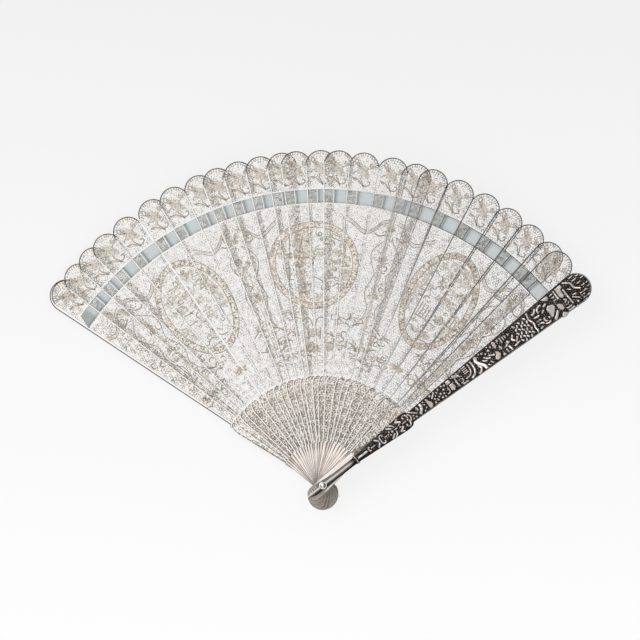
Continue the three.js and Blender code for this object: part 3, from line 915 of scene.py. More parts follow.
class Board:
    """Places in millimetres from a point of the open fan: u across, v away from the rivet."""

    def __init__(self, turn, reach, mirror=1):
        self.turn, self.reach, self.mirror = radians(turn), reach, mirror

    def at(self, u, v):
        x, y = self.mirror * u, self.reach + v
        return x * cos(self.turn) + y * sin(self.turn), y * cos(self.turn) - x * sin(self.turn)

    def stroke(self, points, width=0.55, finish=AGED, lift=0.0):
        run, holder = [], None
        for point in [self.at(*place) for place in smooth_line(points)] + [None]:
            index = owner(*point) if point else None
            if index != holder:
                if holder is not None and len(run) > 1:
                    pour(ornament[holder], wire(level(run, LAID_ON + lift), width, LAID_TALL), finish)
                run, holder = [], index
            if index is not None:
                run.append(drawn_on(index, *point))

    def band(self, points, width):
        """A strip of ground between two dark lines, with a thin gilt wire along its middle."""
        self.stroke(points, THIN_LINE, GILT)
        for aside in (-width, width):
            self.stroke([(u, v + aside) for u, v in points], DARK_LINE, TARNISH_AND_SHADE)

    def leaf(self, start, end, width):
        index = owner(*self.at((start[0] + end[0]) / 2, (start[1] + end[1]) / 2))
        if index is not None:
            low, high = (Vector(drawn_on(index, *self.at(*place))) for place in (start, end))
            middle, along = (low + high) / 2, high - low
            place = spot(middle.x, middle.y, LEAF_BASE, atan2(along.y, along.x) - pi / 2)
            pour(ornament[index], leaf(along.length, width, LEAF_TALL), GILT, place)

    def patch(self, u, v, half_u, half_v, square=False, mix=CLUMP_MIX):
        for du, dv in clump(half_u, half_v, square):
            point = self.at(u + du, v + dv)
            index = owner(*point)
            if index is not None:
                stamp(ornament[index], fine_scroll, chance.choice(mix), *drawn_on(index, *point),
                      CLUMP_TOP - chance.uniform(0, PATCH_SINK))


def thicket(board, u, v, half_u, half_v, count):
    """Curls of thin wire, strewn over an oval."""
    for curl in range(count):
        far, turn = sqrt(chance.random()), chance.uniform(0, 2 * pi)
        start, sweep = chance.uniform(0, 2 * pi), chance.choice((-1, 1)) * chance.uniform(*CURL_SWEEP)
        points = arc(u + far * half_u * cos(turn), v + far * half_v * sin(turn),
                     chance.uniform(*CURL_RADIUS), start, start + sweep, 4)
        width, finish = chance.uniform(*CURL_WIDTH), chance.choice(CURL_MIX)
        board.stroke(points, width, finish, -chance.uniform(0, CURL_SINK))


print("boards lie on", len(ornament), "sticks")

# %% [markdown]
# ## Three medallions
# Each oval is a flecked band with short bars across it, between two thin wires, with a garden scene
# inside: pavilions on posts, clumps of trees, clouds above and water below. The middle oval is rounder
# than the other two. A scene is a table of clumps, each with its place and half its size, and a table of
# lines, all in millimetres from the oval's middle.

# %% Garden scenes
LEFT_CLUMPS = (
    (-5, 15.4, 4.8, 1.1), (-10, 11.5, 1.8, 1.9), (-2.6, 9, 2.6, 1.9), (-7.6, 3.6, 2.6, 2.1),
    (-1.4, 1.8, 1.3, 1.8), (-2.2, -6.5, 1.4, 1.6), (-13, -7.5, 2.2, 1.8), (3.6, -5.5, 2.2, 2.6),
    (3.4, 2.6, 1.8, 2), (2.6, 8.6, 1.4, 1.4), (4, 18.5, 2, 2.4), (7.6, 18.5, 1.8, 1.6),
    (12.4, 5, 2.2, 3.4), (12.4, 12, 1.4, 2.2), (13.6, -1, 1.6, 1.8), (13.4, -6.4, 1.8, 1.6),
    (-13, 3.4, 1.8, 1.6), (-3, -16.6, 1.2, 2.2), (-12.6, 10.4, 1.6, 1.4), (-7, 22.4, 2.4, 1.2),
    (-12.6, -13, 2, 1.6))
LEFT_LINES = (
    ((-9.6, 0), (-6, -0.4), (-2.6, -0.2)), ((-9.6, -5.8), (-7, -6), (-4, -5.8)), ((-8.4, 7), (-4.6, 6.6)),
    ((6.8, 12.4), (10.4, 12.6)), ((6.6, 7.4), (10, 7.6)), ((11.4, 5.6), (15, 3)),
    ((1.8, -15.6), (4.4, -17.6)), ((-6, -19.6), (-3.6, -18.2), (-1, -19.4)),
    ((0.6, -18), (2.8, -20), (6, -20.6)), ((-6, -23), (3, -22.4)))
MIDDLE_CLUMPS = (
    (-6.4, 16.4, 4.6, 5.6, True), (-6.6, 6.4, 4.4, 3.2), (-7, 0.4, 3.8, 2.8), (-7.4, -5.6, 3.4, 3),
    (-6.6, -12.8, 3.6, 2.2, True), (-6, -18.6, 3.2, 2.8, True), (3.2, 6.8, 3, 2.4), (4.2, 14.8, 1.4, 1),
    (2.4, -18.4, 1.9, 2.4, True), (8.6, 12, 1.9, 2), (8, -4, 2, 2), (9.4, 4, 1.6, 1.6),
    (12.4, 6.4, 2.2, 2.2), (13.2, 1, 2, 1.8), (16.4, 8.4, 1.8, 5.2), (18.4, 1.6, 2.6, 2.6),
    (17.4, -6, 3, 3), (14.4, -12, 1.8, 3.6), (-15.2, 14.6, 1.6, 2.2), (-14.2, 4.2, 2.4, 1.2),
    (-18.6, 8, 1.2, 4), (-15, -4, 1.4, 3))
MIDDLE_LINES = (
    ((-17.4, 4), (-17.4, 13)), ((-13, 5), (-13, 17)), ((-17.8, 5.8), (-11.6, 6.2)),
    ((-17, 3.6), (-11, 4.2)), ((-10.6, 4.4), (-2.6, 4.4)), ((-14.6, -8.2), (-11.2, -8.2)),
    ((-13.8, -12), (-13.8, 2)), ((-10, -10.4), (-2, -10.2)), ((-1.2, -6.4), (1, -7), (4.8, -9.4)),
    ((6.6, -7.4), (12.6, -7.6)), ((9.4, -12.4), (12.6, -10.4)), ((15, -1.4), (20, -1.2)),
    ((10.6, 17), (15, 14.6)), ((10, 15), (15, 12.6)), ((5.6, -11.4), (8.6, -12.6)))
RIGHT_CLUMPS = (
    (-13.6, 2, 2, 12), (-7.2, 18.5, 2.6, 1.6), (-2.6, 21.6, 2.2, 2.2), (-1.2, 18.6, 0.8, 3),
    (4.6, 20.8, 3.6, 1.8), (6.5, 15.6, 4.6, 1.6), (-1.6, 14.4, 1.4, 1.8), (-2.8, 9, 2.4, 2),
    (4.2, 8, 2.8, 1.5), (10.8, 9, 2.4, 2.2), (12, 14, 1.2, 2.2), (-8, 4.6, 1.9, 1.7), (3, 1.8, 3.2, 1.6),
    (7.2, 1.2, 2.2, 1.9), (-1.5, 0.8, 1, 1.6), (6, -8.5, 2, 2), (12.4, -2.4, 2.8, 1.5),
    (11.6, -12, 2.2, 3.2), (-7, -15.4, 2, 0.9), (3, -20.5, 3.2, 1.8), (-3, -20, 2, 1.2))
RIGHT_LINES = (
    ((-10, 14.2), (-8.4, 13), (-6.8, 12)), ((-8.4, -12.8), (-2, -12.5), (5, -13)),
    ((-7.2, -11.8), (-7.2, -4.4)), ((-5.4, -11.8), (-5.4, -5)), ((-3.4, -11.8), (-3.4, -4.6)),
    ((-1.6, -11.8), (-1.6, -5.6)), ((10.4, -8), (10.4, -3.6)), ((12.6, -8), (12.6, -3.6)),
    ((14.4, -7.6), (14.4, -3.4)), ((9.6, -8.6), (15, -8.4)), ((9.4, -16.4), (13.6, -15.6)),
    ((-6, -19), (-3, -21), (-0.5, -19.6)), ((0, -24), (4, -23), (7, -23.4)))
print("clumps of the scenes:", len(LEFT_CLUMPS), len(MIDDLE_CLUMPS), len(RIGHT_CLUMPS))

# %% Bands, with a scene in each
RING_STEPS, OUTLINE_EVERY, BAR_EVERY = 210, 5, 2
BAND_WIDTH, BASE_MARGIN, BASE_SINK, BAR_MARGIN, SCENE_MARGIN = 3.2, 0.4, 0.12, 0.3, 6
RING_WIRE, BAR_WIRE, TOP_WIDER = 0.36, (0.3, 0.55), 0.06
SCENE_MIX = (AGED, GILT, FROSTED)


def oval(wide, tall, turn):
    """A place on an oval that is a little wider above its middle."""
    return wide * (1 + TOP_WIDER * sin(turn)) * cos(turn), tall * sin(turn)


def medallion(board, wide, tall, clumps, lines, swell, curls, bars):
    """A framed oval and its scene, with the clumps swollen by a factor and some curls strewn between."""
    turns = [2 * pi * step / RING_STEPS for step in range(RING_STEPS + 1)]

    def ring(inset):
        return [oval(wide - inset, tall - inset, turn) for turn in turns[::OUTLINE_EVERY]]

    for inset in (0.0, BAND_WIDTH):
        board.stroke(ring(inset), RING_WIRE)
    board.stroke(ring(BAND_WIDTH / 2), BAND_WIDTH - BASE_MARGIN, FROSTED, -BASE_SINK)
    for turn in turns[:-1:BAR_EVERY]:
        ends = [oval(wide - inset, tall - inset, turn) for inset in (BAR_MARGIN, BAND_WIDTH - BAR_MARGIN)]
        board.stroke(ends, chance.uniform(*BAR_WIRE), chance.choice(bars))
    for u, v, half_u, half_v, *square in clumps:
        board.patch(u, v, half_u * swell, half_v * swell, bool(square), SCENE_MIX)
    for line in lines:
        board.stroke(line)
    thicket(board, 0, 0, wide - SCENE_MARGIN, tall - SCENE_MARGIN, curls)


medallion(Board(-35.2, 119.5), 20.0, 28.3, LEFT_CLUMPS, LEFT_LINES, swell=1.3, curls=60,
          bars=(AGED, FROSTED, FROSTED, FROSTED))
medallion(Board(-2.3, 121.3), 24.4, 24.0, MIDDLE_CLUMPS, MIDDLE_LINES, swell=1.1, curls=70,
          bars=(GILT, FROSTED, FROSTED))
medallion(Board(32.2, 119.0), 19.2, 28.8, RIGHT_CLUMPS, RIGHT_LINES, swell=1.25, curls=50,
          bars=(GILT, GILT, FROSTED, AGED))
print("faces of ornament:", sum(len(form.faces) for form in ornament))

# %% [markdown]
# ## Pendants, swags and garlands
# Between the ovals hang double-lobed pendants with a palmette on top, and swags swing from them to both
# sides under the ribbon. Lower down leaf garlands run round the fan, with a little basket in the middle
# and a butterfly below each outer oval. Each is drawn once, on the right of its middle line where it has
# two like sides, and repeated round the fan.

# %% Pendants and swags
LOBES = (
    (1.4, 139), (4.2, 136.3), (7.4, 131.5), (7.2, 127), (5, 122.5), (3.4, 118.6), (5, 113.2), (5.8, 109),
    (4.6, 104.5), (2.4, 100.5), (3.2, 95), (5.2, 91.5))
SWAG = ((2.3, 149.2), (6, 147.6), (9.2, 143.4), (12.6, 140.6), (16, 140.8), (20, 143), (24.6, 145))
SCROLLS = (((3, 141.5), (6.5, 140), (9, 141.2)), ((1.6, 91.4), (5, 90.6), (8.6, 87.6)),
           ((1.8, 76.6), (4.6, 78.4), (8.2, 79.4)))
PENDANT_CLUMPS = ((144, 3.6, 3.4), (128.5, 3.2, 4.6), (109.5, 2.4, 4))
PENDANT_CURLS = ((144, 8, 4.5), (128.5, 6, 8), (109.5, 5, 7), (91, 7, 5), (78, 6.5, 5))
PENDANT_TURNS = (-48.5, -19.5, 15.2, 45.6)
CLUMP_PARTS, STREWN_U, STREWN_V, PART_U, PART_V = 3, 0.7, 0.8, 0.55, 0.4
CURLS_EACH, LOBE_GAP, SWAG_HALF = 14, 0.8, 0.95


def pendant(turn):
    board = Board(turn, 0)
    for reach, half_u, half_v in PENDANT_CLUMPS:
        for part in range(CLUMP_PARTS):
            u = chance.uniform(-STREWN_U, STREWN_U) * half_u
            v = reach + chance.uniform(-STREWN_V, STREWN_V) * half_v
            board.patch(u, v, half_u * PART_U, half_v * PART_V)
    for reach, half_u, half_v in PENDANT_CURLS:
        thicket(board, 0, reach, half_u, half_v, CURLS_EACH)
    board.stroke([(0, 121), (0.6, 118), (-0.3, 114.5)], 0.7, GILT)
    board.stroke([(0, 103), (0.5, 97), (-0.4, 90), (0.3, 82), (0, 75)], 0.6, GILT)
    for side in (-1, 1):
        board.stroke(mirrored(LOBES, side), DARK_LINE, TARNISH_AND_SHADE)
        board.stroke([(side * (u - LOBE_GAP), v) for u, v in LOBES], THIN_LINE, FROSTED)
        board.band(mirrored(SWAG, side), SWAG_HALF)
        for line in SCROLLS:
            board.stroke(mirrored(line, side), 0.7)


for turn in PENDANT_TURNS:
    pendant(turn)
print("pendants:", len(PENDANT_TURNS))

# %% Garlands, basket and butterflies
SPRIGS = (
    (-52, 78, 1), (-43, 88, -1), (-13.5, 84, 1), (-10, 95, -1), (-5.5, 74, 1), (4, 82, -1), (8, 92, 1),
    (10.5, 76, -1), (21, 86, 1), (24, 74, -1), (39, 87, -1), (43, 76, 1), (-16, 72, 1), (17.5, 70, -1))
SPRIG_LEAVES = (((-6.4, -1), (-3.4, -2.8)), ((0, 0.2), (2.4, 3.2)), ((3, 1.4), (6, -1.2)))
BASKET_CLUMPS = ((-1, 84, 3.6, 2.8), (-3, 75.5, 3.6, 2.2), (7, 76, 2.6, 2.4))
BASKET_MIDDLE, BASKET_BOW = -1, ((0.6, 88), (2, 91.6), (4.2, 92.6), (6.4, 90.2))
BASKET_SIDE = ((3, 80.6), (3.6, 86.8))
BUTTERFLIES = ((-35.5, 78.5), (32.0, 76.0))
EDGE_CURLS, EDGE_REACH = ((-55.5, 12), (-52.5, 24)), 105


def sprig(turn, reach, side):
    """Two leaf strokes and three leaves of a garland."""
    board = Board(turn, reach, side)
    board.stroke([(-6, -1), (-3, 0.8), (0, 0), (3, 1.6), (6.4, 0.8)], 0.5)
    board.stroke([(-4, -3.4), (-1, -2), (2.6, -3.6)], 0.45)
    for start, end in SPRIG_LEAVES:
        board.leaf(start, end, 1.2)
    thicket(board, 0, 0, 7, 4, 7)


def butterfly(turn, reach):
    board = Board(turn, reach)
    for side in (-1, 1):
        board.leaf((side * 0.5, 0.4), (side * 4.2, -0.6), 2.2)
        board.leaf((side * 0.5, -0.6), (side * 2.8, -2.6), 1.6)
        board.stroke(mirrored([(0.35, -1.6), (0.35, 1.2), (1, 2.6)], side), 0.5)


for turn, reach, side in SPRIGS:
    sprig(turn, reach, side)
for turn, curls in EDGE_CURLS:
    thicket(Board(turn, EDGE_REACH), 0, 0, 3.5, 42, curls)
basket = Board(-2.5, 0)
for u, v, half_u, half_v in BASKET_CLUMPS:
    basket.patch(u, v, half_u, half_v)
for side in (-1, 1):
    basket.stroke([(side * u + BASKET_MIDDLE, v) for u, v in BASKET_BOW], 0.6)
    basket.stroke([(side * u + BASKET_MIDDLE, v) for u, v in BASKET_SIDE])
for turn, reach in BUTTERFLIES:
    butterfly(turn, reach)
print("faces of ornament:", sum(len(form.faces) for form in ornament))

# %% [markdown]
# ## The 25 sticks
# Every stick is its own pane of scrolls with the shared rims and spray, its slice of the ornament, and a
# plain burnished plate at its lower end. The plate's tail is as long as the round head of the fan allows
# at that stick's angle, so together the tails draw a disc. The plate has the rivet's hole, and its upper
# edge is bevelled, which makes the stack read as fine lines.

# %% Plate, openwork and ornament, laid at each stick's place
HEAD_RADIUS, HEAD_DROP = 7.5, 6.3
HOLE, HOLE_SIDES, PLATE_BEVEL = 1.28, 12, 0.12


def tail_length(angle):
    aside = HEAD_DROP * sin(angle)
    return HEAD_DROP * cos(angle) + sqrt(HEAD_RADIUS ** 2 - aside ** 2)


def plate_outline(angle):
    tail = arc(0, TAIL_HALF - tail_length(angle), TAIL_HALF, pi, 2 * pi, 10)
    right_side = [(TAIL_HALF, 0), (WAIST_HALF, WAIST_REACH), (PLATE_HALF, PLATE_REACH)]
    return tail + right_side + mirrored(reversed(right_side))


rivet_hole = arc(0, 0, HOLE, 0, 2 * pi * (1 - 1 / HOLE_SIDES), HOLE_SIDES - 1)
for index, stick in enumerate(sticks):
    form = panes[index]
    form.from_mesh(openwork)
    plate = sheet([plate_outline(angles[index]), rivet_hole], 0, STICK_THICKNESS, PLATE_BEVEL)
    pour(form, plate, BURNISHED)
    form.from_mesh(mesh_of(ornament[index], "slice"))
    piece = finish_piece(f"{stick}_filigree", form, laid(angles[index], bases[index]), STICK_FINISHES, stick,
                         "filigree_silver", stick, shade=chance.uniform(0, 1))
print("faces on the last stick:", len(piece.data.polygons))

# %% [markdown]
# ## Ribbon
# The silk comes up through a stick's slot, crosses over the stick's right half, and dives under the next
# stick to that one's slot. Each such run is its own piece, made by spinning the ribbon's width about the
# rivet, so it follows the circle. The first run starts with the ribbon's end, cut on the bias, and the
# last one goes on under the front guard. A run rides on its stick.

# %% One run of silk for every stick
RUN_STEPS, WIDTH_STEPS, SILK_THICKNESS = 14, 4, 0.07
CUT_END, RUN_START, TUCKED_IN, BIAS = 5.2, 0.15, 3.0, 3.2
UNDER_STICK, OVER_STICK, RUN_RISE, CLIMB = 0.1, 0.06, 0.08, 0.7


def ribbon_run(index):
    first, last = index == 0, index == STICK_COUNT - 1
    slot_turn = SLOT_MIDDLE / RIBBON_REACH
    start = slot_turn - (CUT_END if first else RUN_START) / RIBBON_REACH
    stop = next_angle(index) - angles[index] + slot_turn + (TUCKED_IN / RIBBON_REACH if last else 0.0)
    form = bmesh.new()
    offsets = [RIBBON_WIDTH * (step / WIDTH_STEPS - 0.5) for step in range(WIDTH_STEPS + 1)]
    width = [form.verts.new((0, RIBBON_REACH + offset, 0)) for offset in offsets]
    edges = [form.edges.new(pair) for pair in zip(width, width[1:])]
    bmesh.ops.spin(form, geom=width + edges, cent=(0, 0, 0), axis=(0, 0, -1), angle=stop - start,
                   steps=RUN_STEPS, use_merge=False)
    for vert in form.verts:
        turn, reach = atan2(vert.co.x, vert.co.y), hypot(vert.co.x, vert.co.y)
        share = turn / (stop - start)
        lean = (vert.co.y - RIBBON_REACH) / RIBBON_WIDTH * BIAS / RIBBON_REACH if first else 0.0
        bow = start + turn + lean * max(0.0, 1 - 3 * share)
        climb = 1.0 if first else min(1.0, turn * RIBBON_REACH / CLIMB)
        height = STICK_THICKNESS + OVER_STICK + RUN_RISE * share
        vert.co = (reach * sin(bow), reach * cos(bow), (height + UNDER_STICK) * climb - UNDER_STICK)
    bmesh.ops.recalc_face_normals(form, faces=form.faces)
    bmesh.ops.solidify(form, geom=form.faces[:], thickness=SILK_THICKNESS)
    bmesh.ops.recalc_face_normals(form, faces=form.faces)
    for face in form.faces:
        face.smooth = True
    return form


for index, stick in enumerate(sticks):
    place = laid(angles[index], bases[index])
    piece = finish_piece(f"ribbon_run_{index + 1:02d}", ribbon_run(index), place, (silk,), stick,
                         "silk", "ribbon")
    along = (cos(angles[index]), -sin(angles[index]), 0)
    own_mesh(piece)
print("runs of ribbon:", STICK_COUNT)

# %% [markdown]
# ## Guards
# A guard is a flat silver plate with a cast cover in high relief. Its outline is a stick's with other
# sizes, and below the collar a slim neck that ends in a point. The cover's ground is a pillow with a
# sloping border, and scrolls, leaves, berries, roofs and willow strokes stand on it.

# %% Outline of a guard
GUARD_TIP_HALF, GUARD_LEAD = 8.5, 0.2
GUARD_TIP_CENTRE = STICK_LENGTH + GUARD_LEAD - GUARD_TIP_HALF
GUARD_ROOT_HALF, GUARD_GORGE_HALF, GUARD_GORGE_ROUNDING = 3.1, 4.8, 5.0
COLLAR_REACH, COLLAR_HALF, COLLAR_LENGTH = 23.0, 2.5, 1.8
NECK_HALF, NECK_START, BOSS_HALF, POINT_REACH, NECK_STEPS = 1.95, 8.0, 2.7, 11.5, 8
PLATE_THICKNESS, SEAM, GROUND_RISE = 0.6, 0.05, 1.1
COVER_LOW = PLATE_THICKNESS + SEAM
GROUND_HEIGHT = COVER_LOW + GROUND_RISE
GORGE_REACHES = (COLLAR_REACH, 38, SHOULDER - GUARD_GORGE_ROUNDING, 57.5, 59.2, 60.2)
BLADE_REACHES = (SHOULDER + 0.1, 100, 140)

guard_half = profile(COLLAR_REACH, NECK_HALF, GUARD_GORGE_HALF, GUARD_GORGE_ROUNDING, GUARD_ROOT_HALF,
                     GUARD_TIP_CENTRE, GUARD_TIP_HALF)


def guard_outline(inset=0.0):
    right_side = [(guard_half(y) - inset, y) for y in GORGE_REACHES + BLADE_REACHES]
    tip = arc(0, GUARD_TIP_CENTRE, GUARD_TIP_HALF - inset, 0, pi, 20)
    return right_side + tip + mirrored(reversed(right_side))


def neck_side():
    """The right edge of the neck, from its point to the collar."""
    shares = [1 - step / NECK_STEPS for step in range(NECK_STEPS + 1)]
    swell = [(BOSS_HALF * (1 - share ** 2), -POINT_REACH * share) for share in shares]
    return swell + [(NECK_HALF, NECK_START), (NECK_HALF, COLLAR_REACH + COLLAR_LENGTH / 2)]


def neck_outline():
    return neck_side() + mirrored(reversed(neck_side()[1:]))


print("guard", 2 * GUARD_TIP_HALF, "mm wide at its tip")

# %% [markdown]
# ## Relief of a guard
# Casting and chasing leave few kinds of form: round-topped strokes, flat stones with soft edges, and
# berries. They are the same stock as on the sticks, only bolder: what makes them read is the black ground
# and the bright tops. From the collar up there is a stem with paired scrolls and leaves, then a garden:
# berries, stones, a lantern under an arch, a bold wave, a pagoda, foliage, a wavy rail, folds, boulders,
# a house with its beam, and a willow at the tip. The tables give each form in millimetres, across from
# the middle line and up from the rivet, and a stroke's width comes first.

# %% Stem with paired scrolls and leaves
STROKE_HEIGHT, STROKE_SWELL, STONE_HEIGHT, STONE_BEVEL, SUNK = 0.95, 1.15, 0.6, 0.45, 0.15
PAIRS = (
    (0.7, (0.3, 31.6), (0.9, 32.2), (1.1, 33)), (0.9, (0.2, 39.1), (1.2, 38.4), (2.4, 37)),
    (0.7, (0.3, 40.2), (1.4, 40.2), (2.4, 41), (2.1, 42.2), (1.2, 42.1)),
    (0.8, (1, 50.2), (2.7, 49.7), (3.8, 47.6)), (1, (1.5, 48.7), (2.4, 47.4), (3.3, 46)),
    (0.7, (0.5, 46.2), (1.2, 46.8)), (0.7, (0.4, 52.6), (1.1, 53.9)),
    (1.1, (1.2, 54.9), (2.2, 53.7), (3.1, 52)), (0.7, (3.3, 52.8), (4, 54.2)),
    (0.8, (0.7, 59.4), (2.4, 59.2), (3.4, 58), (2.6, 56.8), (1.5, 57.2)))
STEM_BERRIES = ((32, 0.7), (40.2, 0.6), (45.4, 0.6), (48.1, 1), (58.8, 0.9))
relief = bmesh.new()


def raised(width, *points):
    """A round-topped stroke through a few points."""
    path = level(smooth_line(points), GROUND_HEIGHT - SUNK + STROKE_HEIGHT / 2)
    pour(relief, wire(path, width * STROKE_SWELL, STROKE_HEIGHT, sides=6), 0, smooth=True)


def stone(target, outline):
    pour(target, sheet([outline], GROUND_HEIGHT - SUNK, GROUND_HEIGHT + STONE_HEIGHT, STONE_BEVEL), 0)


def berry(x, y, radius):
    pour(relief, bead(radius, STROKE_HEIGHT), 0, spot(x, y, GROUND_HEIGHT - SUNK), smooth=True)


for width, *points in PAIRS:
    for side in (-1, 1):
        raised(width, *mirrored(points, side))
raised(1.1, (0, 24.4), (0, 28.0), (0, 30.8))
for low, high in ((33.4, 36.2), (42.8, 44.6), (49.6, 51.6), (55.0, 57.8)):
    raised(0.6, (0, low), (0, high))
for y, radius in STEM_BERRIES:
    berry(0, y, radius)
print("faces of the stem:", len(relief.faces))

# %% Garden up the blade: strokes
STROKES = (
    (0.8, (-2.5, 60), (-0.6, 61.2), (1.6, 60)), (0.8, (-3.2, 61), (-1.6, 63), (0.4, 65.2)),
    (1.6, (-3, 68.8), (-1.2, 69), (0.4, 68), (2, 66.2)), (0.8, (-2.6, 66), (-1.6, 66.8), (-0.6, 66.2)),
    (0.9, (-3.3, 79), (-2.2, 77.9), (-0.9, 76.2)), (0.9, (-3.2, 76.6), (-2.4, 75.6)),
    (0.7, (-0.6, 86.8), (2.2, 86.7), (2.5, 84.9)), (0.9, (-3.9, 92.2), (-3, 94), (-2, 95.8)),
    (0.5, (-3.7, 90.8), (-2.2, 94), (-0.6, 96.8)), (0.7, (-3.9, 98), (-3.2, 96.6), (-3.6, 94.6)),
    (0.7, (-2.3, 92.8), (0.5, 92.6), (3.2, 93)),
    (0.6, (0.4, 94.2), (0.2, 95.6), (1.3, 96.6), (2.5, 95.6), (2.3, 94.2)),
    (1.1, (-4.2, 105), (-1.5, 105.1), (1.2, 104.6), (3, 103), (3.7, 100.8)),
    (0.8, (-4.1, 103), (-1.4, 102.9), (0.6, 102.2), (1.8, 100.6), (2, 98)), (0.7, (3.4, 95), (3.5, 98.6)),
    (1.9, (-4.3, 109), (-3, 107.9), (-1.2, 107.9), (0.8, 109.2), (3, 110.6), (4.6, 110.4)),
    (1.2, (0.2, 107.3), (2.2, 108.2), (3.7, 107.2), (4.2, 105.4)),
    (0.8, (-0.6, 110.9), (0.6, 111.8), (1.2, 113.2)), (1, (-1.3, 112.4), (0.2, 113.8), (1.2, 115.6)),
    (1, (-0.6, 115.4), (0.3, 116.8), (1.2, 118.4)), (0.8, (3, 112.2), (4.2, 113.2)),
    (0.8, (2.6, 114.4), (4.4, 115.4)), (1.2, (1.9, 127.4), (3.8, 127.8), (5.2, 128)),
    (0.9, (1.4, 124.9), (1.4, 126.4), (0.4, 127.6)), (0.8, (2.6, 125.4), (5, 125.6)),
    (0.9, (-4.7, 125.6), (-1.4, 125.6)), (0.8, (-4.2, 127.2), (-2, 127.2)),
    (0.7, (-4, 128.6), (-2.2, 128.6)), (0.9, (0.6, 134.4), (1.8, 133.4), (3, 132.2)),
    (0.9, (3.7, 134), (3.9, 132), (4.3, 130)),
    (1.1, (-1.5, 132.6), (-0.3, 131.4), (0.7, 130.8), (1.9, 132.2)),
    (1, (-6.1, 145.6), (-4.6, 145.2), (-2.4, 144.6), (-0.8, 145.3), (1.2, 145.8), (3.4, 145),
     (5, 145.4), (6.2, 144.6)), (1.1, (-5.3, 151), (-4.3, 150), (-3.5, 148.8), (-3.3, 147.4)),
    (1.1, (-1.3, 147.4), (-0.9, 149), (-0.9, 150.8)), (1, (1.3, 147.4), (1.2, 149), (1.6, 150.4)),
    (0.9, (3.1, 147), (3.2, 149.2), (4.2, 150.6)), (0.9, (5.6, 147.2), (5.2, 149)),
    (1, (-4.9, 154.8), (-4.8, 152.8), (-3.8, 151.4), (-2, 151)), (0.9, (-1.8, 154.6), (-0.7, 152.6)),
    (0.9, (1.6, 152.4), (3, 151.6), (4.4, 152.6)), (1, (-3.8, 157.4), (-3.1, 155.2)),
    (0.9, (4.8, 150.8), (5.6, 152.4), (5.4, 154.2)), (0.9, (-6.7, 164.7), (-4.2, 164.6), (-1.4, 164.7)),
    (1, (-4.2, 169.6), (0.5, 169.6), (5.4, 169.7)), (0.8, (0.4, 166.6), (1.4, 167.9), (2.4, 166.2)),
    (0.8, (2.9, 168.2), (3.9, 167.2), (3.4, 165.8)), (0.9, (5.6, 165.4), (5.6, 168.6)),
    (0.8, (7, 165.4), (7, 169.4)),
    (1, (-7.1, 171.4), (-5.8, 173.2), (-4.4, 174.9), (-2.6, 175), (-1, 175.4), (1.2, 178)),
    (0.8, (2.2, 171.4), (3.6, 173), (5.2, 174.8)), (0.7, (1.5, 172.2), (2, 174.4)),
    (0.7, (-2.8, 171.8), (-1.4, 173.2)))
WILLOW = (
    (-7, 175.6, 178.2), (-4.8, 176.2, 179.4), (-2.1, 177.8, 180.4), (0.3, 179.2, 181.2),
    (3.3, 176, 180.4), (4.7, 175.8, 178.2), (6.3, 176.2, 180.4), (-3.4, 181, 183), (0.4, 182.2, 183.2),
    (2.4, 181.4, 183), (-5.8, 179.6, 181.4), (7.6, 174.8, 177.6))
for width, *points in STROKES:
    raised(width, *points)
for x, low, high in WILLOW:
    raised(0.7, (x, low), (x + 0.25, (low + high) / 2), (x, high))
for x in (-3.9, -2.8, -1.7, -0.6):
    raised(0.6, (x, 98.6), (x, 101.4))
for x in (-5.8, -4.0, -2.1):
    raised(0.8, (x, 161.8), (x, 163.6))
print("faces with the strokes:", len(relief.faces))

# %% Stones, berries and foliage
STONES = (
    ((-3.1, 72.6), (2.9, 72.5), (3, 74), (1.9, 75.3), (0.4, 75.4), (-1.2, 74.2), (-3, 73.6)),
    ((-3.7, 87.2), (-1.5, 87.3), (-1.4, 89.4), (-2.4, 90.2), (-3.7, 89.6)),
    ((-0.9, 88), (2.2, 87.8), (3.3, 89.4), (1.6, 91), (-1, 90.6)),
    ((-0.4, 119.4), (1.6, 118.9), (3.3, 117.2), (4.7, 118), (4.7, 120), (2.6, 121.6), (0.6, 120.9)),
    ((-5.2, 120.4), (-2.6, 120), (-0.8, 120.5), (-1.9, 121.8), (-4.2, 122.5), (-5.3, 121.6)),
    ((-1.9, 123.2), (-0.5, 122.4), (0.8, 122.5), (1.7, 123.4), (0.2, 124.2)),
    ((-4.5, 130), (-1.9, 130), (-3.2, 131.6)), ((3, 123), (4.4, 121.9), (5.1, 122.4), (4.9, 124.2)),
    ((-4.9, 123.2), (-3, 123.2), (-3.4, 124.4), (-4.7, 124.4)),
    ((-2.4, 157.4), (-0.8, 155.7), (2, 155.8), (4.4, 155.6), (4.6, 156.9), (2.3, 159.2),
     (0.6, 160.7), (-1, 160.4)),
    ((2.5, 160.6), (4.6, 158.2), (5.8, 156.4), (6.9, 156), (7.1, 157.5), (5.6, 159.4), (3.8, 161)),
    ((-6.9, 156), (-5.3, 157.6), (-4.2, 159.3), (-5.8, 160.8), (-6.8, 160.3)),
    ((0.1, 161.6), (2.2, 161.5), (3.9, 161.9), (5, 163.1), (4.4, 164.5), (2.2, 164.7), (0.9, 163.7)),
    ((-7, 165.8), (-1.8, 165.6), (-0.4, 166.6), (-0.9, 168.4), (-4.8, 168.5), (-5.4, 170.2), (-7.1, 170)))
OUTER_STONE = ((5.5, 162.3), (7, 160.9), (8.4, 160.3), (8.9, 162.4), (8.3, 164.3), (6.6, 163.8))
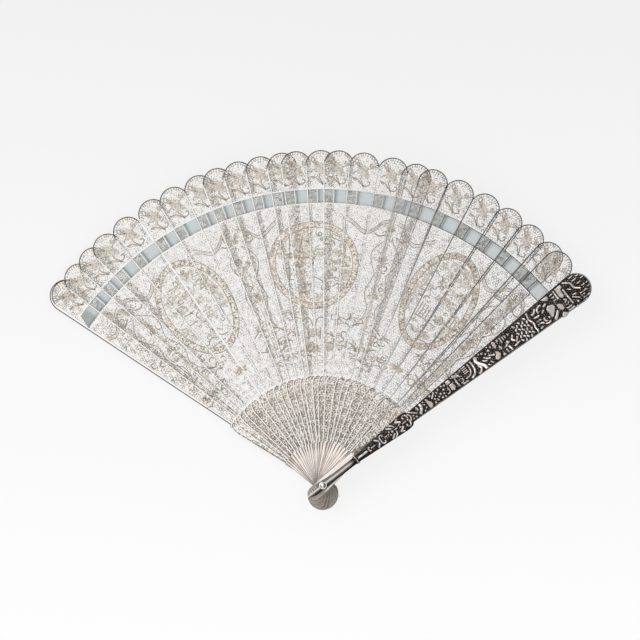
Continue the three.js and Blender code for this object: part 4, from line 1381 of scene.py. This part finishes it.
BERRIES = (
    (1.7, 63.9, 0.8), (0.2, 62.7, 0.7), (1.6, 62, 0.7), (-2.5, 71, 0.7), (-0.8, 71, 0.7), (1, 71.1, 0.7),
    (2.1, 69.6, 0.7), (1.7, 78.9, 0.9), (0.2, 77.6, 0.9), (2.1, 77, 0.8), (-0.9, 78.9, 0.7),
    (0.7, 80.3, 0.7), (-2, 80.3, 0.8), (-2.9, 81.8, 0.8), (-0.1, 81.8, 0.9), (2.2, 81.6, 0.9),
    (-3.3, 84.2, 0.8), (-1, 84.4, 0.9), (0.9, 83.6, 0.8), (2.7, 83.4, 0.8), (-2.5, 86, 0.9),
    (-4.3, 111.2, 0.7), (-3.6, 112.8, 0.9), (-2.2, 114.5, 0.8), (-2.7, 116.8, 1.1), (-4.7, 117.1, 0.7),
    (-3.6, 118.8, 0.8), (0.1, 128.1, 1.3), (6.1, 172.6, 1), (7.8, 170.8, 0.7), (3.4, 154.6, 0.9))
FOLIAGE_START, FOLIAGE_ROWS, FOLIAGE_PITCH, FOLIAGE_ROW = 135.4, 5, 2.2, 1.85
FOLIAGE_SHIFT, FOLIAGE_STEP, FOLIAGE_LEAN = 0.45, 0.3, 0.75
GRIT_START, GRIT_ROWS, GRIT_PITCH, GRIT_ROW, GRIT_MARGIN = 32, 126, 1.35, 1.2, 1.3
GRIT_RADIUS, GRIT_HEIGHT, GRIT_SIDES, GRIT_SINK = (0.35, 0.6), (0.15, 0.5), 6, 0.05
GRIT_UNEVEN = 0.2
for outline in STONES:
    stone(relief, outline)
for x, y, radius in BERRIES:
    berry(x, y, radius)
for row in range(FOLIAGE_ROWS):
    for column in range(-2, 3):
        x = (column + FOLIAGE_SHIFT * (row % 2)) * FOLIAGE_PITCH
        y = FOLIAGE_START + FOLIAGE_ROW * row + FOLIAGE_STEP * (column % 2)
        lean = FOLIAGE_LEAN * (-1) ** (row + column)
        raised(1.0, (x - lean, y - 0.45), (x + 0.1, y + 0.15), (x + lean, y + 0.45))
for row in range(GRIT_ROWS):
    y = GRIT_START + GRIT_ROW * row
    for column in range(-6, 7):
        x = (column + 0.5 * (row % 2) + chance.uniform(-GRIT_UNEVEN, GRIT_UNEVEN)) * GRIT_PITCH
        if abs(x) < guard_half(y) - GRIT_MARGIN:
            grit = bead(chance.uniform(*GRIT_RADIUS), chance.uniform(*GRIT_HEIGHT), GRIT_SIDES)
            pour(relief, grit, 0, spot(x, y, GROUND_HEIGHT - GRIT_SINK), smooth=True)
relief_mesh = mesh_of(relief, "relief")
print("faces of the relief:", len(relief_mesh.polygons))

# %% [markdown]
# ## Cover, neck, collar and plate of a guard
# The cover is a pillow with its relief, a rounded neck with a painted highlight and a painted dark
# reflection that ends in a point, and a moulded collar between them. Front and rear are the same drawing:
# the rear one is turned over, so that its relief faces down. It is cast a little wider, its dark edge
# frames the first stick, and the boulder that stands out over the edge of the front one is left off.

# %% Build each guard once for the front and once for the rear
REAR_LIP = 0.5
PILLOW_BORDER, CROWN_SHARE, ROUND_STEPS = 1.2, 0.6, 4
NECK_TOP, NECK_SIDES = COVER_LOW + 1.0, 20
EDGE_INSET, EDGE_WIRE, EDGE_TALL, EDGE_REACHES = 0.4, 0.6, 0.5, range(62, 170, 12)
COLLAR_BOW, POINT_BLUNT = 0.25, 0.05
COLLAR_RINGS = ((-0.6, 0.6, 1.2), (0.1, 0.8, 1.75), (0.75, 0.6, 1.1))
ENGRAVED = ((0.5, -9.0), (1, -5.5), (1.2, -2.6))
ENGRAVED_ASIDE, ENGRAVED_WIRE, ENGRAVED_TALL = (-0.9, 0.0, 0.9), 0.25, 0.24


def rounded(outline, low, high, border):
    """A sheet whose upper edge is drawn in along a quarter of an oval, as on a cast or filed form."""
    part = sheet([outline], low, high)
    top = [face for face in part.faces if face.normal.z > 0.9]
    crown = (high - low) * CROWN_SHARE
    bmesh.ops.translate(part, vec=(0, 0, -crown), verts=list({vert for face in top for vert in face.verts}))
    turns = [pi / 2 * step / ROUND_STEPS for step in range(ROUND_STEPS + 1)]
    for before, after in zip(turns, turns[1:]):
        bmesh.ops.inset_region(part, faces=top, thickness=border * (cos(before) - cos(after)),
                               depth=crown * (sin(after) - sin(before)), use_even_offset=True)
    return part


def neck_sections():
    """Ovals along the neck, as wide as its outline and lying on the plate."""
    sections = []
    for half, y in [(POINT_BLUNT, POINT_BLUNT - POINT_REACH)] + neck_side()[1:]:
        section = Matrix(((2 * half, 0, 0), (0, 0, 1), (0, NECK_TOP - COVER_LOW, 0))).to_4x4()
        section.translation = (0, y, (COVER_LOW + NECK_TOP) / 2)
        sections.append(section)
    return sections


def add_trim(cover):
    """The neck with its engraved lines, a thin raised edge round the blade, and the collar's three rings."""
    # Finish 1 is the neck's silver, with its painted highlight and painted dark reflection.
    pour(cover, extruded(neck_sections(), NECK_SIDES), 1, smooth=True)
    for x in ENGRAVED_ASIDE:
        path = level([(x * share, y) for share, y in ENGRAVED], NECK_TOP)
        pour(cover, wire(path, ENGRAVED_WIRE, ENGRAVED_TALL), 1)
    edge = [(guard_half(y) - EDGE_INSET, y) for y in EDGE_REACHES]
    edge += arc(0, GUARD_TIP_CENTRE, GUARD_TIP_HALF - EDGE_INSET, 0, pi, 16)
    pour(cover, wire(level(edge, GROUND_HEIGHT), EDGE_WIRE, EDGE_TALL, sides=6), 0, smooth=True)
    collar = [(-COLLAR_HALF, COLLAR_REACH), (0, COLLAR_REACH + COLLAR_BOW), (COLLAR_HALF, COLLAR_REACH)]
    for shift, thick, tall in COLLAR_RINGS:
        path = level([(x, y + shift) for x, y in collar], COVER_LOW + tall / 2)
        pour(cover, wire(path, thick, tall, sides=8), 0, smooth=True)


def guard(name, place, body, lip=0.0):
    cover = bmesh.new()
    pour(cover, rounded(guard_outline(-lip), COVER_LOW, GROUND_HEIGHT, PILLOW_BORDER), 0, smooth=True)
    cover.from_mesh(relief_mesh)
    if not lip:
        stone(cover, OUTER_STONE)
    add_trim(cover)
    finish_piece(f"{name}_relief", cover, place, (chased, neck_painted_sheen), body,
                 "relief_silver", f"{name}_cover")
    backing = bmesh.new()
    for outlines in ([guard_outline()], [neck_outline(), rivet_hole]):
        pour(backing, sheet(outlines, 0, PLATE_THICKNESS, PLATE_BEVEL), 0)
    finish_piece(f"{name}_backing", backing, place, (mirror_back,), body,
                 "plain_silver", f"{name}_plate")


front_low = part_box("front_guard_plate")[0].z / MM
rear_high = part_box("rear_guard_plate")[1].z / MM
turned_over = Matrix.Rotation(pi, 4, "Y")
guard("front_guard", laid(FRONT_ANGLE, front_low), "front_guard")
guard("rear_guard", laid(REAR_ANGLE, rear_high) @ turned_over, "rear_guard", REAR_LIP)
print("guards at", round(degrees(REAR_ANGLE), 1), "and", round(degrees(FRONT_ANGLE), 1), "degrees")

# %% [markdown]
# ## Rivet
# The rivet's head is a small polished dome on a washer, and its rear end is hammered flat. Both are
# turned forms, so half a section is spun once round the axis.

# %% Spin the rivet and its washers
PIN, PIN_HEAD, DOME, DOME_STEPS, HEAD_SEAM = 1.1, 1.6, 0.9, 6, 0.05
FLAT_HEAD, FLAT_TAPER, FLAT_HIGH = 1.3, 0.25, 0.5
WASHER_HOLE, WASHER_FACE, WASHER_EDGE, WASHER_BEVEL = 1.15, 1.9, 2.0, 0.08
TURNED_STEPS = 24


def turned(half_section, name, material, slot, *nodes):
    form = bmesh.new()
    verts = [form.verts.new((x, 0, z)) for x, z in half_section]
    edges = [form.edges.new(pair) for pair in zip(verts, verts[1:])]
    bmesh.ops.spin(form, geom=verts + edges, cent=(0, 0, 0), axis=(0, 0, 1), angle=2 * pi,
                   steps=TURNED_STEPS, use_merge=True)
    bmesh.ops.remove_doubles(form, verts=form.verts, dist=1e-4)
    bmesh.ops.recalc_face_normals(form, faces=form.faces)
    for face in form.faces:
        face.smooth = True
    finish_piece(name, form, Matrix.Scale(MM, 4), (material,), "rear_guard", slot, *nodes)


pin_low, pin_high = (corner.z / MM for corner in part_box("rivet_pin"))
dome_foot = pin_high - DOME
quarter = [pi / 2 * step / DOME_STEPS for step in range(DOME_STEPS + 1)]
dome = [(PIN_HEAD * cos(turn), dome_foot + DOME * sin(turn)) for turn in quarter]
flat_head = [(0, pin_low), (FLAT_HEAD, pin_low), (PIN_HEAD, pin_low + FLAT_TAPER),
             (PIN_HEAD, pin_low + FLAT_HIGH)]
shank = [(PIN, pin_low + FLAT_HIGH + HEAD_SEAM), (PIN, dome_foot - HEAD_SEAM),
         (PIN_HEAD, dome_foot - HEAD_SEAM)]
# The rivet takes the neck's silver, with its painted highlight and painted dark reflection.
turned(flat_head + shank + dome, "rivet", neck_painted_sheen, "plain_silver", "rivet_pin")
for washer in ("front_washer", "rear_washer"):
    low, high = (corner.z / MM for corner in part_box(washer))
    outside = [(WASHER_FACE, low), (WASHER_EDGE, low + WASHER_BEVEL), (WASHER_EDGE, high - WASHER_BEVEL),
               (WASHER_FACE, high)]
    turned([(WASHER_HOLE, low), *outside, (WASHER_HOLE, high), (WASHER_HOLE, low)],
           f"{washer}_ring", polished, "plain_silver", washer)
print("rivet from", round(pin_low, 2), "to", round(pin_high, 2), "mm")

# %% End
print("done")
